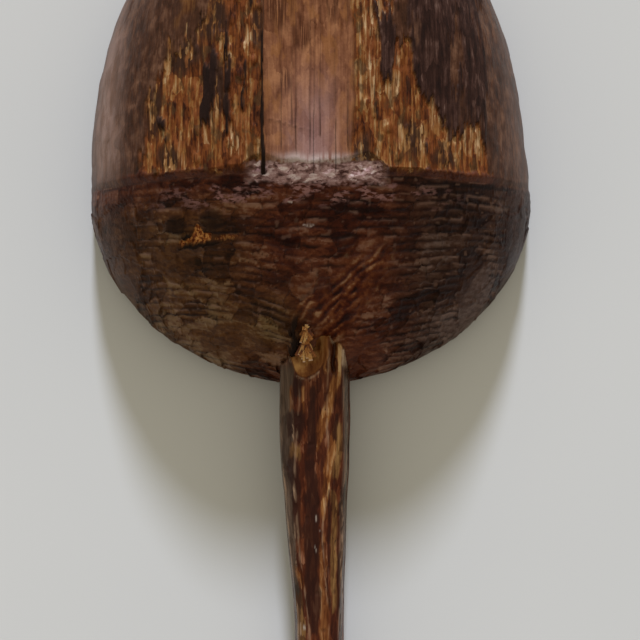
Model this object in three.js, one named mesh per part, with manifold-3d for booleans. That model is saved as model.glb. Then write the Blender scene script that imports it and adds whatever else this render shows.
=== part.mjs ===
// A kuksa of the long-handled dipper kind: a deep bowl hewn from half a log, and a handle
// hewn from a branch, tenoned through the bowl's front wall, wedged inside and pinned by a peg.
// It lies mouth down on its rim, as it is put away to dry.
//
// Millimetres. +Z is up, the handle points along -Y, and the origin lies on the surface under
// the rim, below the middle of the whole object.

import * as THREE from 'three';
import { LoftGeometry } from 'three/addons/geometries/LoftGeometry.js';
import { mergeVertices } from 'three/addons/utils/BufferGeometryUtils.js';
import Module from 'manifold-3d';

const wasm = await Module();
wasm.setup();

// ---------------------------------------------------------------- driving dimensions

const BOWL_LENGTH = 222;
const BOWL_WIDTH = 217;
const BOWL_HEIGHT = 102;
const HANDLE_REACH = 230; // from the bowl's front to the handle's free end
const GAP = 0.3; // between pieces that touch

const FRONT_Y = (HANDLE_REACH - BOWL_LENGTH) / 2; // the bowl's front, where the handle leaves it
const BACK_Y = FRONT_Y + BOWL_LENGTH;

// The outside: a half log, cut off by a long rounded nose at the front and a short one behind.
// Each nose starts at a crisp ridge across the crown. The wear flat runs along the crown.
const OUTSIDE = {
  frontY: FRONT_Y,
  widestY: FRONT_Y + 88,
  backY: BACK_Y,
  halfWidth: BOWL_WIDTH / 2,
  frontPower: 1.92,
  backPower: 3.6,
  backTaper: 0.12,
  tipHeight: 12,
  crownHeight: BOWL_HEIGHT + 1.5,
  wearFlat: BOWL_HEIGHT,
  ridgeHeight: 98,
  ridgeChamfer: 9,
  frontRidgeY: FRONT_Y + 96,
  backRidgeY: BACK_Y - 26,
  frontRoundness: 0.3,
  backRoundness: 0.7,
  sectionPower: 2.2,
};

// The hollow: the same kind of shape without crisp ridges, thicker in front where the mortise is.
const FRONT_WALL = 22;
const BACK_WALL = 14;
const SIDE_WALL = 12;
const CROWN_WALL = 13;
const HOLLOW = {
  frontY: FRONT_Y + FRONT_WALL,
  widestY: FRONT_Y + 92,
  backY: BACK_Y - BACK_WALL,
  halfWidth: BOWL_WIDTH / 2 - SIDE_WALL,
  frontPower: 2.1,
  backPower: 3.6,
  backTaper: 0.12,
  tipHeight: 8,
  crownHeight: BOWL_HEIGHT - CROWN_WALL,
  wearFlat: BOWL_HEIGHT - CROWN_WALL,
  ridgeHeight: BOWL_HEIGHT - CROWN_WALL,
  ridgeChamfer: 9,
  frontRidgeY: FRONT_Y + 114,
  backRidgeY: BACK_Y - 58,
  frontRoundness: 0.45,
  backRoundness: 0.85,
  sectionPower: 2.3,
};

// The handle, from its shouldered root to its free end: place along Y from the bowl's front,
// middle across, middle height, half width, half height.
const HANDLE_STATIONS = [
  [24, 1.4, 25.5, 16.6, 19.5],
  [-2, 1.3, 24, 17.3, 19],
  [-30, 1.3, 22.6, 17, 17.6],
  [-72, 2.3, 21, 14, 14.4],
  [-116, 4.3, 20, 11.2, 12],
  [-180, 4.7, 19.6, 11.2, 12],
  [-HANDLE_REACH, 4.8, 19.4, 12.6, 12.8],
];
const HANDLE_POWER = 2.5; // 2 is an ellipse, more is squarer
const HANDLE_SIDES = 18;
const HANDLE_STEPS = 18; // sections between its two rounded ends
const END_ROUNDING = 9;
const ROOT_ROUNDING = 7;
const END_SIZE = 0.35; // what is left of the section at the very ends

// The joint.
const TENON = { width: 18, height: 15, x: 1.3, z: 24, from: FRONT_Y - 20, to: FRONT_Y + 37 };
const SLOT = { from: TENON.to - 11, mouth: 3.6, end: 1.2 };
const WEDGE_PROUD = 2;
const PEG = { radius: 3.5, x: -0.8, y: FRONT_Y + 21, bottom: 7, top: 45, sides: 12 };
const SCOOP = { x: -2.5, y: FRONT_Y + 20, z: 51, rx: 12.5, ry: 18, rz: 12.5 };
const SEAL = { width: 3.4, from: TENON.to - 12, to: TENON.to - 2 };

const STATIONS_PER_NOSE = 11;
const STATION_CROWDING = 1.7; // 1 spaces a nose's stations evenly, more crowds them at its tip
const STATIONS_BETWEEN = 5;
const SECTION_STEPS = 32;
const TIP_FLAT = 0.5; // the small flat left at a tip, which would have no width
const SKIRT = 5; // how far a cutter reaches below the rim

// ---------------------------------------------------------------- solids and booleans

// A closed geometry as a manifold solid, with its shared vertices merged.
function toSolid(geometry) {
  const bare = new THREE.BufferGeometry();
  bare.setAttribute('position', geometry.getAttribute('position'));
  bare.setIndex(geometry.getIndex());
  const merged = mergeVertices(bare);
  return new wasm.Manifold(new wasm.Mesh({
    numProp: 3,
    vertProperties: new Float32Array(merged.getAttribute('position').array),
    triVerts: new Uint32Array(merged.getIndex().array),
  }));
}

function toGeometry(solid) {
  const { vertProperties, triVerts } = solid.getMesh();
  const geometry = new THREE.BufferGeometry();
  geometry.setAttribute('position', new THREE.BufferAttribute(vertProperties, 3));
  geometry.setIndex(new THREE.BufferAttribute(triVerts, 1));
  geometry.computeVertexNormals();
  return geometry;
}

function loft(sections) {
  return new LoftGeometry(sections, { capStart: true, capEnd: true });
}

// An upright box from its lowest corner to its highest.
function boxBetween(low, high) {
  const size = high.map((value, axis) => value - low[axis]);
  const middle = high.map((value, axis) => (value + low[axis]) / 2);
  return new THREE.BoxGeometry(...size).translate(...middle);
}

// ---------------------------------------------------------------- the bowl's form

// One quadrant of a superellipse: 1 at t = 0, falling to 0 at t = 1.
function quadrant(t, power) {
  return (1 - Math.min(Math.abs(t), 1) ** power) ** (1 / power);
}

// A nose's rise from 0 at its tip to 1 at its ridge: part straight slope, part quarter round.
function noseRise(t, roundness) {
  return (1 - roundness) * t + roundness * Math.sqrt(1 - (1 - t) ** 2);
}

function halfWidthAt(form, y) {
  if (y < form.widestY) {
    const t = (form.widestY - y) / (form.widestY - form.frontY);
    return form.halfWidth * quadrant(t, form.frontPower);
  }
  const t = (y - form.widestY) / (form.backY - form.widestY);
  return form.halfWidth * (1 - form.backTaper * t) * quadrant(t, form.backPower);
}

function crownAt(form, y) {
  const { frontY, backY, frontRidgeY, backRidgeY, tipHeight, ridgeHeight } = form;
  if (y < frontRidgeY) {
    const rise = noseRise((y - frontY) / (frontRidgeY - frontY), form.frontRoundness);
    return tipHeight + (ridgeHeight - tipHeight) * rise;
  }
  if (y > backRidgeY) {
    const rise = noseRise((backY - y) / (backY - backRidgeY), form.backRoundness);
    return tipHeight + (form.crownHeight - tipHeight) * rise;
  }
  const t = Math.min((y - frontRidgeY) / form.ridgeChamfer, 1);
  return ridgeHeight + (form.crownHeight - ridgeHeight) * t;
}

// The arch of the log across the bowl at y. A skirt carries it straight down below the rim.
function archSection(form, y, skirt) {
  const halfWidth = halfWidthAt(form, y);
  const crown = crownAt(form, y);
  const sharpness = 2 / form.sectionPower;
  const points = [];
  for (let step = 0; step <= SECTION_STEPS; step += 1) {
    const angle = (Math.PI * step) / SECTION_STEPS;
    const across = Math.cos(angle);
    const x = -Math.sign(across) * halfWidth * Math.abs(across) ** sharpness;
    const z = crown * Math.max(Math.sin(angle), 0) ** sharpness;
    points.push(new THREE.Vector3(x, y, Math.min(z, form.wearFlat)));
  }
  points[0].z = 0;
  points[SECTION_STEPS].z = 0;
  if (skirt > 0) {
    points.unshift(new THREE.Vector3(-halfWidth, y, -skirt));
    points.push(new THREE.Vector3(halfWidth, y, -skirt));
  }
  return points;
}

// Stations that crowd towards a tip, where the outline turns fastest. The tip itself has no
// width, so the first station stands a little way in and leaves a small flat.
function noseStations(tipY, ridgeY) {
  const stations = [];
  for (let step = 1; step <= STATIONS_PER_NOSE; step += 1) {
    const t = (step / STATIONS_PER_NOSE) ** STATION_CROWDING;
    stations.push(tipY + (ridgeY - tipY) * t);
  }
  return stations;
}

function formStations(form) {
  const front = noseStations(form.frontY, form.frontRidgeY);
  const back = noseStations(form.backY, form.backRidgeY).reverse();
  const between = [form.frontRidgeY + form.ridgeChamfer];
  for (let step = 1; step <= STATIONS_BETWEEN; step += 1) {
    const t = step / (STATIONS_BETWEEN + 1);
    between.push(between[0] + (form.backRidgeY - between[0]) * t);
  }
  // the outermost stations keep the true length, so that the bowl ends where it should
  return [form.frontY, ...front, ...between, ...back, form.backY];
}

function formSolid(form, skirt) {
  const sections = formStations(form).map((y) => {
    const inside = Math.min(Math.max(y, form.frontY + TIP_FLAT), form.backY - TIP_FLAT);
    return archSection(form, inside, skirt).map((point) => point.setY(y));
  });
  return toSolid(loft(sections));
}

// The same form, grown outwards (or inwards, where negative) by an even distance.
function grown(form, by) {
  return {
    ...form,
    frontY: form.frontY - by,
    backY: form.backY + by,
    halfWidth: form.halfWidth + by,
    tipHeight: form.tipHeight + by,
    crownHeight: form.crownHeight + by,
    wearFlat: form.wearFlat + by,
    ridgeHeight: form.ridgeHeight + by,
  };
}

// ---------------------------------------------------------------- the joint's cutters

function tenonBar(clearance) {
  const { width, height, x, z, from, to } = TENON;
  const low = [x - width / 2 - clearance, from, z - height / 2 - clearance];
  const high = [x + width / 2 + clearance, to + clearance, z + height / 2 + clearance];
  return toSolid(boxBetween(low, high));
}

// The wedge, and with a clearance the slot that it is driven into: narrow at its inner end.
function wedgeSolid(clearance, to) {
  const shape = new THREE.Shape([
    new THREE.Vector2(TENON.x - SLOT.end / 2 - clearance, SLOT.from - clearance),
    new THREE.Vector2(TENON.x + SLOT.end / 2 + clearance, SLOT.from - clearance),
    new THREE.Vector2(TENON.x + SLOT.mouth / 2 + clearance, to),
    new THREE.Vector2(TENON.x - SLOT.mouth / 2 - clearance, to),
  ]);
  const depth = TENON.height + 2 * clearance;
  const wedge = new THREE.ExtrudeGeometry(shape, { depth, bevelEnabled: false });
  return toSolid(wedge.translate(0, 0, TENON.z - depth / 2));
}

function pegSolid(clearance) {
  const { radius, x, y, bottom, top, sides } = PEG;
  const low = bottom - clearance;
  const height = top + clearance - low;
  const peg = new THREE.CylinderGeometry(radius + clearance, radius + clearance, height, sides);
  return toSolid(peg.rotateX(Math.PI / 2).translate(x, y, low + height / 2));
}

// The hollow that the knife left in the top of the handle's root, round the peg.
function scoopSolid() {
  const { x, y, z, rx, ry, rz } = SCOOP;
  const ball = new THREE.SphereGeometry(1, 24, 16);
  return toSolid(ball.scale(rx, ry, rz).translate(x, y, z));
}

// ---------------------------------------------------------------- the pieces

function bowlGeometry() {
  const bowl = formSolid(OUTSIDE, 0)
    .subtract(formSolid(HOLLOW, SKIRT))
    .subtract(tenonBar(GAP))
    .subtract(pegSolid(GAP));
  return toGeometry(bowl);
}

// A point of the handle's course, blended smoothly between its two nearest stations.
function handleAt(y) {
  const curve = HANDLE_STATIONS;
  let first = 0;
  while (first < curve.length - 2 && y < curve[first + 1][0]) {
    first += 1;
  }
  const t = (y - curve[first][0]) / (curve[first + 1][0] - curve[first][0]);
  const before = curve[Math.max(first - 1, 0)];
  const after = curve[Math.min(first + 2, curve.length - 1)];
  const value = (column) => smooth(
    [before[0], curve[first][0], curve[first + 1][0], after[0]],
    [before[column], curve[first][column], curve[first + 1][column], after[column]],
    t,
  );
  return { x: value(1), z: value(2), halfWidth: value(3), halfHeight: value(4) };
}

// A cubic through the two middle values, with slopes taken from their neighbours.
function smooth(places, values, t) {
  const span = places[2] - places[1];
  const slope = (a, b) => {
    const run = places[b] - places[a];
    return run === 0 ? 0 : (values[b] - values[a]) / run;
  };
  const start = slope(0, 2) * span;
  const end = slope(1, 3) * span;
  const t2 = t * t;
  const t3 = t2 * t;
  return (2 * t3 - 3 * t2 + 1) * values[1] + (t3 - 2 * t2 + t) * start
    + (3 * t2 - 2 * t3) * values[2] + (t3 - t2) * end;
}

// How far the handle is drawn in at its two rounded ends, from 0 to 1.
function endShrink(y) {
  const fromRoot = (HANDLE_STATIONS[0][0] - y) / ROOT_ROUNDING;
  const fromEnd = (y + HANDLE_REACH) / END_ROUNDING;
  const near = Math.min(fromRoot, fromEnd, 1);
  return END_SIZE + (1 - END_SIZE) * Math.sqrt(1 - (1 - near) ** 2);
}

function handleSection(y) {
  const { x, z, halfWidth, halfHeight } = handleAt(y);
  const shrink = endShrink(y);
  const sharpness = 2 / HANDLE_POWER;
  const points = [];
  for (let side = 0; side < HANDLE_SIDES; side += 1) {
    const angle = (2 * Math.PI * (side + 0.5)) / HANDLE_SIDES;
    const across = Math.cos(angle);
    const up = Math.sin(angle);
    points.push(new THREE.Vector3(
      x - Math.sign(across) * Math.abs(across) ** sharpness * halfWidth * shrink,
      FRONT_Y + y,
      z + Math.sign(up) * Math.abs(up) ** sharpness * halfHeight * shrink,
    ));
  }
  return points;
}

function handleGeometry() {
  const root = HANDLE_STATIONS[0][0];
  const ends = [0, 0.15, 0.5, 1];
  const nearEnd = ends.map((t) => -HANDLE_REACH + t * END_ROUNDING);
  const nearRoot = ends.map((t) => root - t * ROOT_ROUNDING).reverse();
  const plain = [];
  const from = nearEnd[ends.length - 1];
  for (let step = 1; step < HANDLE_STEPS; step += 1) {
    plain.push(from + ((nearRoot[0] - from) * step) / HANDLE_STEPS);
  }
  const sections = [...nearEnd, ...plain, ...nearRoot].map(handleSection);
  const shouldered = toSolid(loft(sections)).subtract(formSolid(grown(OUTSIDE, GAP), SKIRT));
  const handle = shouldered
    .subtract(scoopSolid())
    .add(tenonBar(0))
    .subtract(pegSolid(GAP))
    .subtract(wedgeSolid(GAP, TENON.to + 1));
  return toGeometry(handle);
}

function wedgeGeometry() {
  return toGeometry(wedgeSolid(0, TENON.to + WEDGE_PROUD));
}

function pegGeometry() {
  return toGeometry(pegSolid(0));
}

// A collar of pitch round the tenon where it comes through the wall into the hollow.
function sealGeometry() {
  const { width, height, x, z } = TENON;
  const halfWidth = width / 2 + SEAL.width;
  const halfHeight = height / 2 + SEAL.width;
  const collar = toSolid(boxBetween(
    [x - halfWidth, SEAL.from, z - halfHeight],
    [x + halfWidth, SEAL.to, z + halfHeight],
  ));
  const seal = collar
    .intersect(formSolid(grown(HOLLOW, -GAP), 0))
    .subtract(tenonBar(GAP));
  return toGeometry(seal);
}

// ---------------------------------------------------------------- materials and the group

function material(color, roughness) {
  return new THREE.MeshStandardMaterial({ color, roughness, metalness: 0 });
}

const bowlWood = material('#4a2415', 0.42);
const handleWood = material('#5e2f18', 0.36);
const wedgeWood = material('#6b4322', 0.6);
const pegWood = material('#a87c35', 0.7);
const pitch = material('#1d120c', 0.3);

function piece(name, geometry, look) {
  const mesh = new THREE.Mesh(geometry, look);
  mesh.name = name;
  return mesh;
}

const kuksa = new THREE.Group();
kuksa.add(piece('bowl', bowlGeometry(), bowlWood));
kuksa.add(piece('handle', handleGeometry(), handleWood));
kuksa.add(piece('tenon_wedge', wedgeGeometry(), wedgeWood));
kuksa.add(piece('draw_peg', pegGeometry(), pegWood));
kuksa.add(piece('pitch_seal', sealGeometry(), pitch));

export default kuksa;
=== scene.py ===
"""The looks of a hewn, long-handled kuksa dipper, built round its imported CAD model.

Shapes are worked out in millimetres, in the row's frame: the bowl lies mouth down with its rim on
the floor, the handle points along -Y, and the log's grain runs along Y.
"""

import math
from types import SimpleNamespace

import bpy
import numpy as np
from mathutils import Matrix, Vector


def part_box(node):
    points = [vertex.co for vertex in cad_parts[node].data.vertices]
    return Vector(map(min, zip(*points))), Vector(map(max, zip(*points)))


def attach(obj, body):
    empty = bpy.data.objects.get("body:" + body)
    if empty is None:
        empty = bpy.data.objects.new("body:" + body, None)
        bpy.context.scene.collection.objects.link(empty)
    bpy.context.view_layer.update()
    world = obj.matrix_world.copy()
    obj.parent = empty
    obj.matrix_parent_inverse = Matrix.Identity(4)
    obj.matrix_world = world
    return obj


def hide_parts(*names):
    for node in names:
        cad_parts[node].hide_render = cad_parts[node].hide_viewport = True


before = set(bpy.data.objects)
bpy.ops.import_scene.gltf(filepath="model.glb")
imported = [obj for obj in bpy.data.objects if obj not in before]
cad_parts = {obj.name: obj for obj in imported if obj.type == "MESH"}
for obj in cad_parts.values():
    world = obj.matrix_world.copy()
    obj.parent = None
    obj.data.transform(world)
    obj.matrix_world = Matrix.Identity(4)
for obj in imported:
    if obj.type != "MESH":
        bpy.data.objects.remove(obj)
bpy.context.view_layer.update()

MM = 0.001


def node_box(name):
    """A CAD node's lowest and highest corners, in millimetres."""
    low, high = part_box(name)
    return np.array(low) / MM, np.array(high) / MM


BOWL_LOW, BOWL_HIGH = node_box("bowl")
FRONT_Y, BACK_Y = BOWL_LOW[1], BOWL_HIGH[1]
END_Y = node_box("handle")[0][1]
HALF_WIDTH = (BOWL_HIGH[0] - BOWL_LOW[0]) / 2
HEIGHT = BOWL_HIGH[2]

# ------------------------------------------------------------------ the bowl's driving shape

OUTSIDE_COLUMNS, OUTSIDE_ROWS = 560, 449  # the outside's grid of points
ROWS_PER_INNER = 4  # the outside's rows for each row of the hollow
NEAREST_COLUMN = 0.22  # a column nearer than this to one of a crack's own columns is left out
RIM_ROUND = 2.0  # the radius at the rim's edges
LEFT_FULLER = 0.024  # how much wider the left side is behind the widest place
MOST_CROWDED = 2.5  # how close the columns may crowd near the two tips
OUTSIDE = SimpleNamespace(
    front=FRONT_Y,
    widest=FRONT_Y + 88,
    back=BACK_Y,
    half_width=HALF_WIDTH,
    front_power=1.92,
    back_power=3.6,
    back_taper=0.12,
    tip_height=12.0,
    crown=HEIGHT + 1.5,
    wear_flat=HEIGHT - 0.4,
    ridge_height=98.0,
    front_ridge=FRONT_Y + 96,
    back_ridge=BACK_Y - 26,
    front_round=0.3,
    back_round=0.7,
    power=2.2,
)
HOLLOW = SimpleNamespace(
    front=FRONT_Y + 22,
    widest=FRONT_Y + 92,
    back=BACK_Y - 14,
    half_width=HALF_WIDTH - 12,
    front_power=2.1,
    back_power=3.6,
    back_taper=0.12,
    tip_height=8.0,
    crown=HEIGHT - 13,
    wear_flat=HEIGHT - 13,
    ridge_height=HEIGHT - 13,
    front_ridge=FRONT_Y + 114,
    back_ridge=BACK_Y - 58,
    front_round=0.45,
    back_round=0.85,
    power=2.3,
)


# ------------------------------------------------------------------ repeatable noise


def hash01(ix, iy, seed):
    """A repeatable number from 0 to 1 for each whole-number cell."""
    n = ix.astype(np.int64) * 374761393 + iy.astype(np.int64) * 668265263 + seed * 974711
    n &= 0xFFFFFFFF
    n = ((n ^ (n >> 13)) * 1274126177) & 0xFFFFFFFF
    return (n ^ (n >> 16)) / 4294967295.0


def noise(x, y, seed):
    """Smooth noise from -1 to 1, its features about one unit across."""
    x, y = np.broadcast_arrays(np.asarray(x, float), np.asarray(y, float))
    ix, iy = np.floor(x), np.floor(y)
    fx, fy = x - ix, y - iy
    fx = fx * fx * (3 - 2 * fx)
    fy = fy * fy * (3 - 2 * fy)
    low = hash01(ix, iy, seed) * (1 - fx) + hash01(ix + 1, iy, seed) * fx
    high = hash01(ix, iy + 1, seed) * (1 - fx) + hash01(ix + 1, iy + 1, seed) * fx
    return 2 * (low * (1 - fy) + high * fy) - 1


def fbm(x, y, octaves, seed):
    """Layered noise, about -1 to 1."""
    total, scale, size = 0.0, 1.0, 0.0
    for octave in range(octaves):
        total = total + scale * noise(x * 2**octave, y * 2**octave, seed + 17 * octave)
        size += scale
        scale *= 0.5
    return total / size


def step(low, high, value):
    """0 below low, 1 above high, smooth between."""
    t = np.clip((value - low) / (high - low), 0, 1)
    return t * t * (3 - 2 * t)


def cells(x, y, seed):
    """The nearest of one scattered point per unit cell: where it lies from here, its two random
    numbers, and how far the border to the next cell is."""
    x, y = np.broadcast_arrays(np.asarray(x, float), np.asarray(y, float))
    ix, iy = np.floor(x), np.floor(y)
    best = np.full(x.shape, 9.0)
    second = best.copy()
    dx, dy, one, two = (np.zeros(x.shape) for _ in range(4))
    for ox in (-1, 0, 1):
        for oy in (-1, 0, 1):
            cx, cy = ix + ox, iy + oy
            px = cx + 0.15 + 0.7 * hash01(cx, cy, seed) - x
            py = cy + 0.15 + 0.7 * hash01(cx, cy, seed + 1) - y
            d = px * px + py * py
            nearer = d < best
            second = np.where(nearer, best, np.minimum(second, d))
            best = np.where(nearer, d, best)
            dx, dy = np.where(nearer, px, dx), np.where(nearer, py, dy)
            one = np.where(nearer, hash01(cx, cy, seed + 2), one)
            two = np.where(nearer, hash01(cx, cy, seed + 3), two)
    return dx, dy, one, two, np.sqrt(second) - np.sqrt(best)


def facets(x, y, seed, tilt):
    """Flat cuts side by side, each tilted its own way: height, in the units of x and y."""
    dx, dy, one, two, _ = cells(x, y, seed)
    return -tilt * (dx * (2 * one - 1) + dy * (2 * two - 1)) * 2


# ------------------------------------------------------------------ the bowl's form


def quadrant(t, power):
    """A rounded fall from 1 at 0 to 0 at 1 and beyond: a quarter circle for a power of 2."""
    return (1 - np.clip(np.abs(t), 0, 1) ** power) ** (1 / power)


def nose_rise(t, roundness):
    """A rise from 0 to 1: straight for a roundness of 0, a quarter circle for 1."""
    t = np.clip(t, 0, 1)
    return (1 - roundness) * t + roundness * np.sqrt(1 - (1 - t) ** 2)


def half_width_at(form, y):
    """The form's half width at each place along Y."""
    ahead = quadrant((form.widest - y) / (form.widest - form.front), form.front_power)
    past = (y - form.widest) / (form.back - form.widest)
    behind = (1 - form.back_taper * past) * quadrant(past, form.back_power)
    return form.half_width * np.where(y < form.widest, ahead, behind)


def crown_at(form, y, chamfer=9.0):
    """The crown's height over the rim's rounding, along the middle."""
    rise = form.crown - form.tip_height
    front = nose_rise((y - form.front) / (form.front_ridge - form.front), form.front_round)
    front = form.tip_height + (form.ridge_height - form.tip_height) * front
    back = nose_rise((form.back - y) / (form.back - form.back_ridge), form.back_round)
    back = form.tip_height + rise * back
    slope = np.clip((y - form.front_ridge) / chamfer, 0, 1)
    middle = form.ridge_height + (form.crown - form.ridge_height) * slope
    height = np.where(y < form.front_ridge, front, np.minimum(middle, back))
    edge = np.minimum(y - form.front, form.back - y) / 1.5
    return RIM_ROUND + (height - RIM_ROUND) * quadrant(1 - np.clip(edge, 0, 1), 2)


def spread(values, along, count):
    """count of the values, evenly spaced by their running length along."""
    return np.interp(np.linspace(0, along[-1], count), along, values)


def running_length(*coordinates):
    """How far along a line of points each of them is."""
    steps = np.sqrt(sum(np.diff(c) ** 2 for c in coordinates))
    return np.concatenate([[0], np.cumsum(steps)])


def column_places(form, count, extra=()):
    """Places across the widest section, from one rim to the other, even along its arch."""
    angle = np.linspace(0, math.pi, 6001)
    sharp = 2 / form.power
    x = -form.half_width * np.sign(np.cos(angle)) * np.abs(np.cos(angle)) ** sharp
    z = form.crown * np.abs(np.sin(angle)) ** sharp
    density = np.where(z > 55, 1.3, 0.85)  # closer on the crown, for its fibres
    along = np.concatenate([[0], np.cumsum(np.hypot(np.diff(x), np.diff(z)) * density[1:])])
    places = spread(x, along, count)
    if len(extra):
        near = np.min(np.abs(places[:, None] - np.asarray(extra)[None, :]), axis=1)
        inner = np.concatenate([[True], near[1:-1] > NEAREST_COLUMN, [True]])
        places = np.sort(np.concatenate([places[inner], extra]))
    return places


def row_places(form, count):
    """Stations along Y, even along the crown's profile, so that they crowd at the two tips."""
    y = np.linspace(form.front, form.back, 20001)
    return spread(y, running_length(y, crown_at(form, y)), count)


def form_grid(form, rows, columns, warp=None, chamfer=9.0):
    """The form's surface as a grid of points, rows along Y and columns across the arch; warp
    moves its crown along Y, column by column."""
    y = rows[:, None]
    width = half_width_at(form, y)
    width[0] = width[-1] = 0
    q = np.abs(columns)[None, :] / form.half_width
    gather = np.minimum(form.half_width / np.maximum(width, 1e-3), MOST_CROWDED)
    share = 1 - (1 - np.clip(q, 0, 1)) ** gather
    fuller = 1 + LEFT_FULLER * step(form.widest, form.widest + 40, y) * (columns < 0)[None, :]
    x = width * share * fuller * np.sign(columns)[None, :]
    level = crown_at(form, y if warp is None else y + warp, chamfer)
    level[0] = level[-1] = RIM_ROUND
    z = RIM_ROUND + (level - RIM_ROUND) * quadrant(share, form.power)
    z = np.minimum(z, form.wear_flat)
    return np.stack(np.broadcast_arrays(x, y, z), axis=-1)


def grid_normals(points):
    """Unit normals at a form's grid of points, pointing away from its middle."""
    along = np.gradient(points, axis=0)
    across = np.gradient(points, axis=1)
    normal = np.cross(across, along)
    length = np.linalg.norm(normal, axis=-1, keepdims=True)
    return -normal / np.maximum(length, 1e-9)


def arch_length(points):
    """Signed distance from the crown along each row."""
    steps = np.linalg.norm(np.diff(points, axis=1), axis=-1)
    run = np.concatenate([np.zeros((len(points), 1)), np.cumsum(steps, axis=1)], axis=1)
    middle = points.shape[1] // 2
    return run - run[:, middle : middle + 1]


# ------------------------------------------------------------------ meshes from arrays


def make_mesh(name, points, faces, masks=None, smooth=True):
    """A mesh object from points in millimetres, faces of any size and masks for each point."""
    mesh = bpy.data.meshes.new(name)
    sizes = np.concatenate([np.full(len(f), f.shape[1]) for f in faces]).astype(np.int32)
    corners = np.concatenate([f.ravel() for f in faces]).astype(np.int32)
    starts = np.concatenate([[0], np.cumsum(sizes)[:-1]]).astype(np.int32)
    mesh.vertices.add(len(points))
    mesh.vertices.foreach_set("co", (points * MM).astype(np.float32).ravel())
    mesh.loops.add(len(corners))
    mesh.loops.foreach_set("vertex_index", corners)
    mesh.polygons.add(len(sizes))
    mesh.polygons.foreach_set("loop_start", starts)
    mesh.polygons.foreach_set("loop_total", sizes)
    mesh.polygons.foreach_set("use_smooth", np.full(len(sizes), smooth))
    mesh.update(calc_edges=True)
    for mask, values in (masks or {}).items():
        layer = mesh.attributes.new(mask, "FLOAT", "POINT")
        layer.data.foreach_set("value", values.astype(np.float32).ravel())
    mesh.validate()
    piece = bpy.data.objects.new(name, mesh)
    bpy.context.scene.collection.objects.link(piece)
    return piece


def grid_faces(index, flip=False):
    """Quads between the neighbours of a grid of point numbers."""
    quads = np.stack([index[:-1, :-1], index[:-1, 1:], index[1:, 1:], index[1:, :-1]], axis=-1)
    quads = quads.reshape(-1, 4)
    return quads[:, ::-1] if flip else quads


def fan_faces(tip, row, flip=False):
    """Triangles from a tip to each step along a row of points."""
    tips = np.full(len(row) - 1, tip)
    triangles = np.stack([tips, row[1:], row[:-1]], axis=-1)
    return triangles[:, ::-1] if flip else triangles


def closed_rows(first, count, around):
    """The point numbers of rows that close on themselves, each row's first point again at its end."""
    index = first + np.arange(count * around).reshape(count, around)
    return np.concatenate([index, index[:, :1]], axis=1)


def capped_tube(first, count, around):
    """The faces of a closed tube of rows of points, with a flat cap at either end."""
    closed = closed_rows(first, count, around)
    return [grid_faces(closed), closed[:1, -1:0:-1], closed[-1:, :-1]]


def ring_faces(one, two, flip=False):
    """Quads between two closed loops of as many points."""
    quads = np.stack([one, np.roll(one, -1), np.roll(two, -1), two], axis=-1)
    return quads[:, ::-1] if flip else quads


class Dome:
    """Half of the bowl's wall: a grid closed at both tips, its rim a loop of points."""

    def __init__(self, points, first):
        rows, columns = points.shape[:2]
        inner = points[1:-1].reshape(-1, 3)
        self.points = np.concatenate([points[0, :1], inner, points[-1, :1]])
        self.grid = first + 1 + np.arange((rows - 2) * columns).reshape(rows - 2, columns)
        self.front, self.back = first, first + len(self.points) - 1
        self.columns = columns

    def values(self, zones, name):
        """A zone's mask, given on the whole grid, as one value for each of this dome's points."""
        if name not in zones:
            return np.zeros(len(self.points))
        mask = zones[name]
        return np.concatenate([mask[0, :1], mask[1:-1].ravel(), mask[-1, :1]])

    def faces(self, flip):
        front = fan_faces(self.front, self.grid[0], flip)
        back = fan_faces(self.back, self.grid[-1], not flip)
        return [grid_faces(self.grid, flip), front, back]

    def rim(self):
        """The rim's loop: out from the front tip along one side and back along the other."""
        return np.concatenate([[self.front], self.grid[:, -1], [self.back], self.grid[::-1, 0]])


def loop_outwards(loop):
    """Each loop point's outward direction in plan."""
    along = np.roll(loop, -1, axis=0) - np.roll(loop, 1, axis=0)
    out = np.stack([along[:, 1], -along[:, 0]], axis=-1)
    return out / np.maximum(np.linalg.norm(out, axis=-1, keepdims=True), 1e-9)


def rim_loops(loop, inwards):
    """The loops that round the wall's edge down to the rim's flat, from the wall to the flat."""
    out = loop_outwards(loop) * inwards
    loops = []
    for angle in (30, 60, 90):
        a = math.radians(angle)
        ring = loop.copy()
        ring[:, :2] -= out * RIM_ROUND * (1 - math.cos(a))
        ring[:, 2] = loop[:, 2] - RIM_ROUND * math.sin(a)
        loops.append(ring)
    return loops


# ------------------------------------------------------------------ the bowl's surface

STRIP = (-20.5, 18.5)  # the worn strip's edges, across the crown
MAIN_CHECK = -20.5  # the long drying check lies along the strip's edge
HAIR_CRACKS = (-12.2, -7.6, -5.9, 0.2, 1.8, 4.6, 11.2, 16.8)  # across the worn strip
FIBRE = 1.9  # the width of a splintered fibre bundle
RING_PITCH = 4.0  # growth rings cut across by the nose, along its slope
GLINT_FLECKS = [(-0.6, 78.7, 2.4, 0.7), (-9, 88.5, 1.2, 0.4)]  # painted white glints on the nose: middle and half sizes
SKIN = 0.5  # how far the carved surface starts under the CAD's

# Where the golden splintered layer ends, as (across, along) from the ridge's middle.
RIGHT_GOLD_END = [
    (18, 90), (28, 85), (30, 41), (36, 41), (37, 60), (46, 60), (48, 40),
    (54, 36), (58, 29), (62, 20), (67, 17), (69, 23), (77, 26), (80, 12), (84, -4),
]
LEFT_GOLD_END = [
    (-79, -4), (-76, 18), (-73, 40), (-62, 60), (-50, 68), (-42, 78), (-37, 90), (-22, 99), (-20, 99),
]


def pick(number, seed):
    """A repeatable number from 0 to 1 for a whole number or an array of them."""
    return hash01(np.asarray(number), np.zeros_like(np.asarray(number)), seed)


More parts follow.
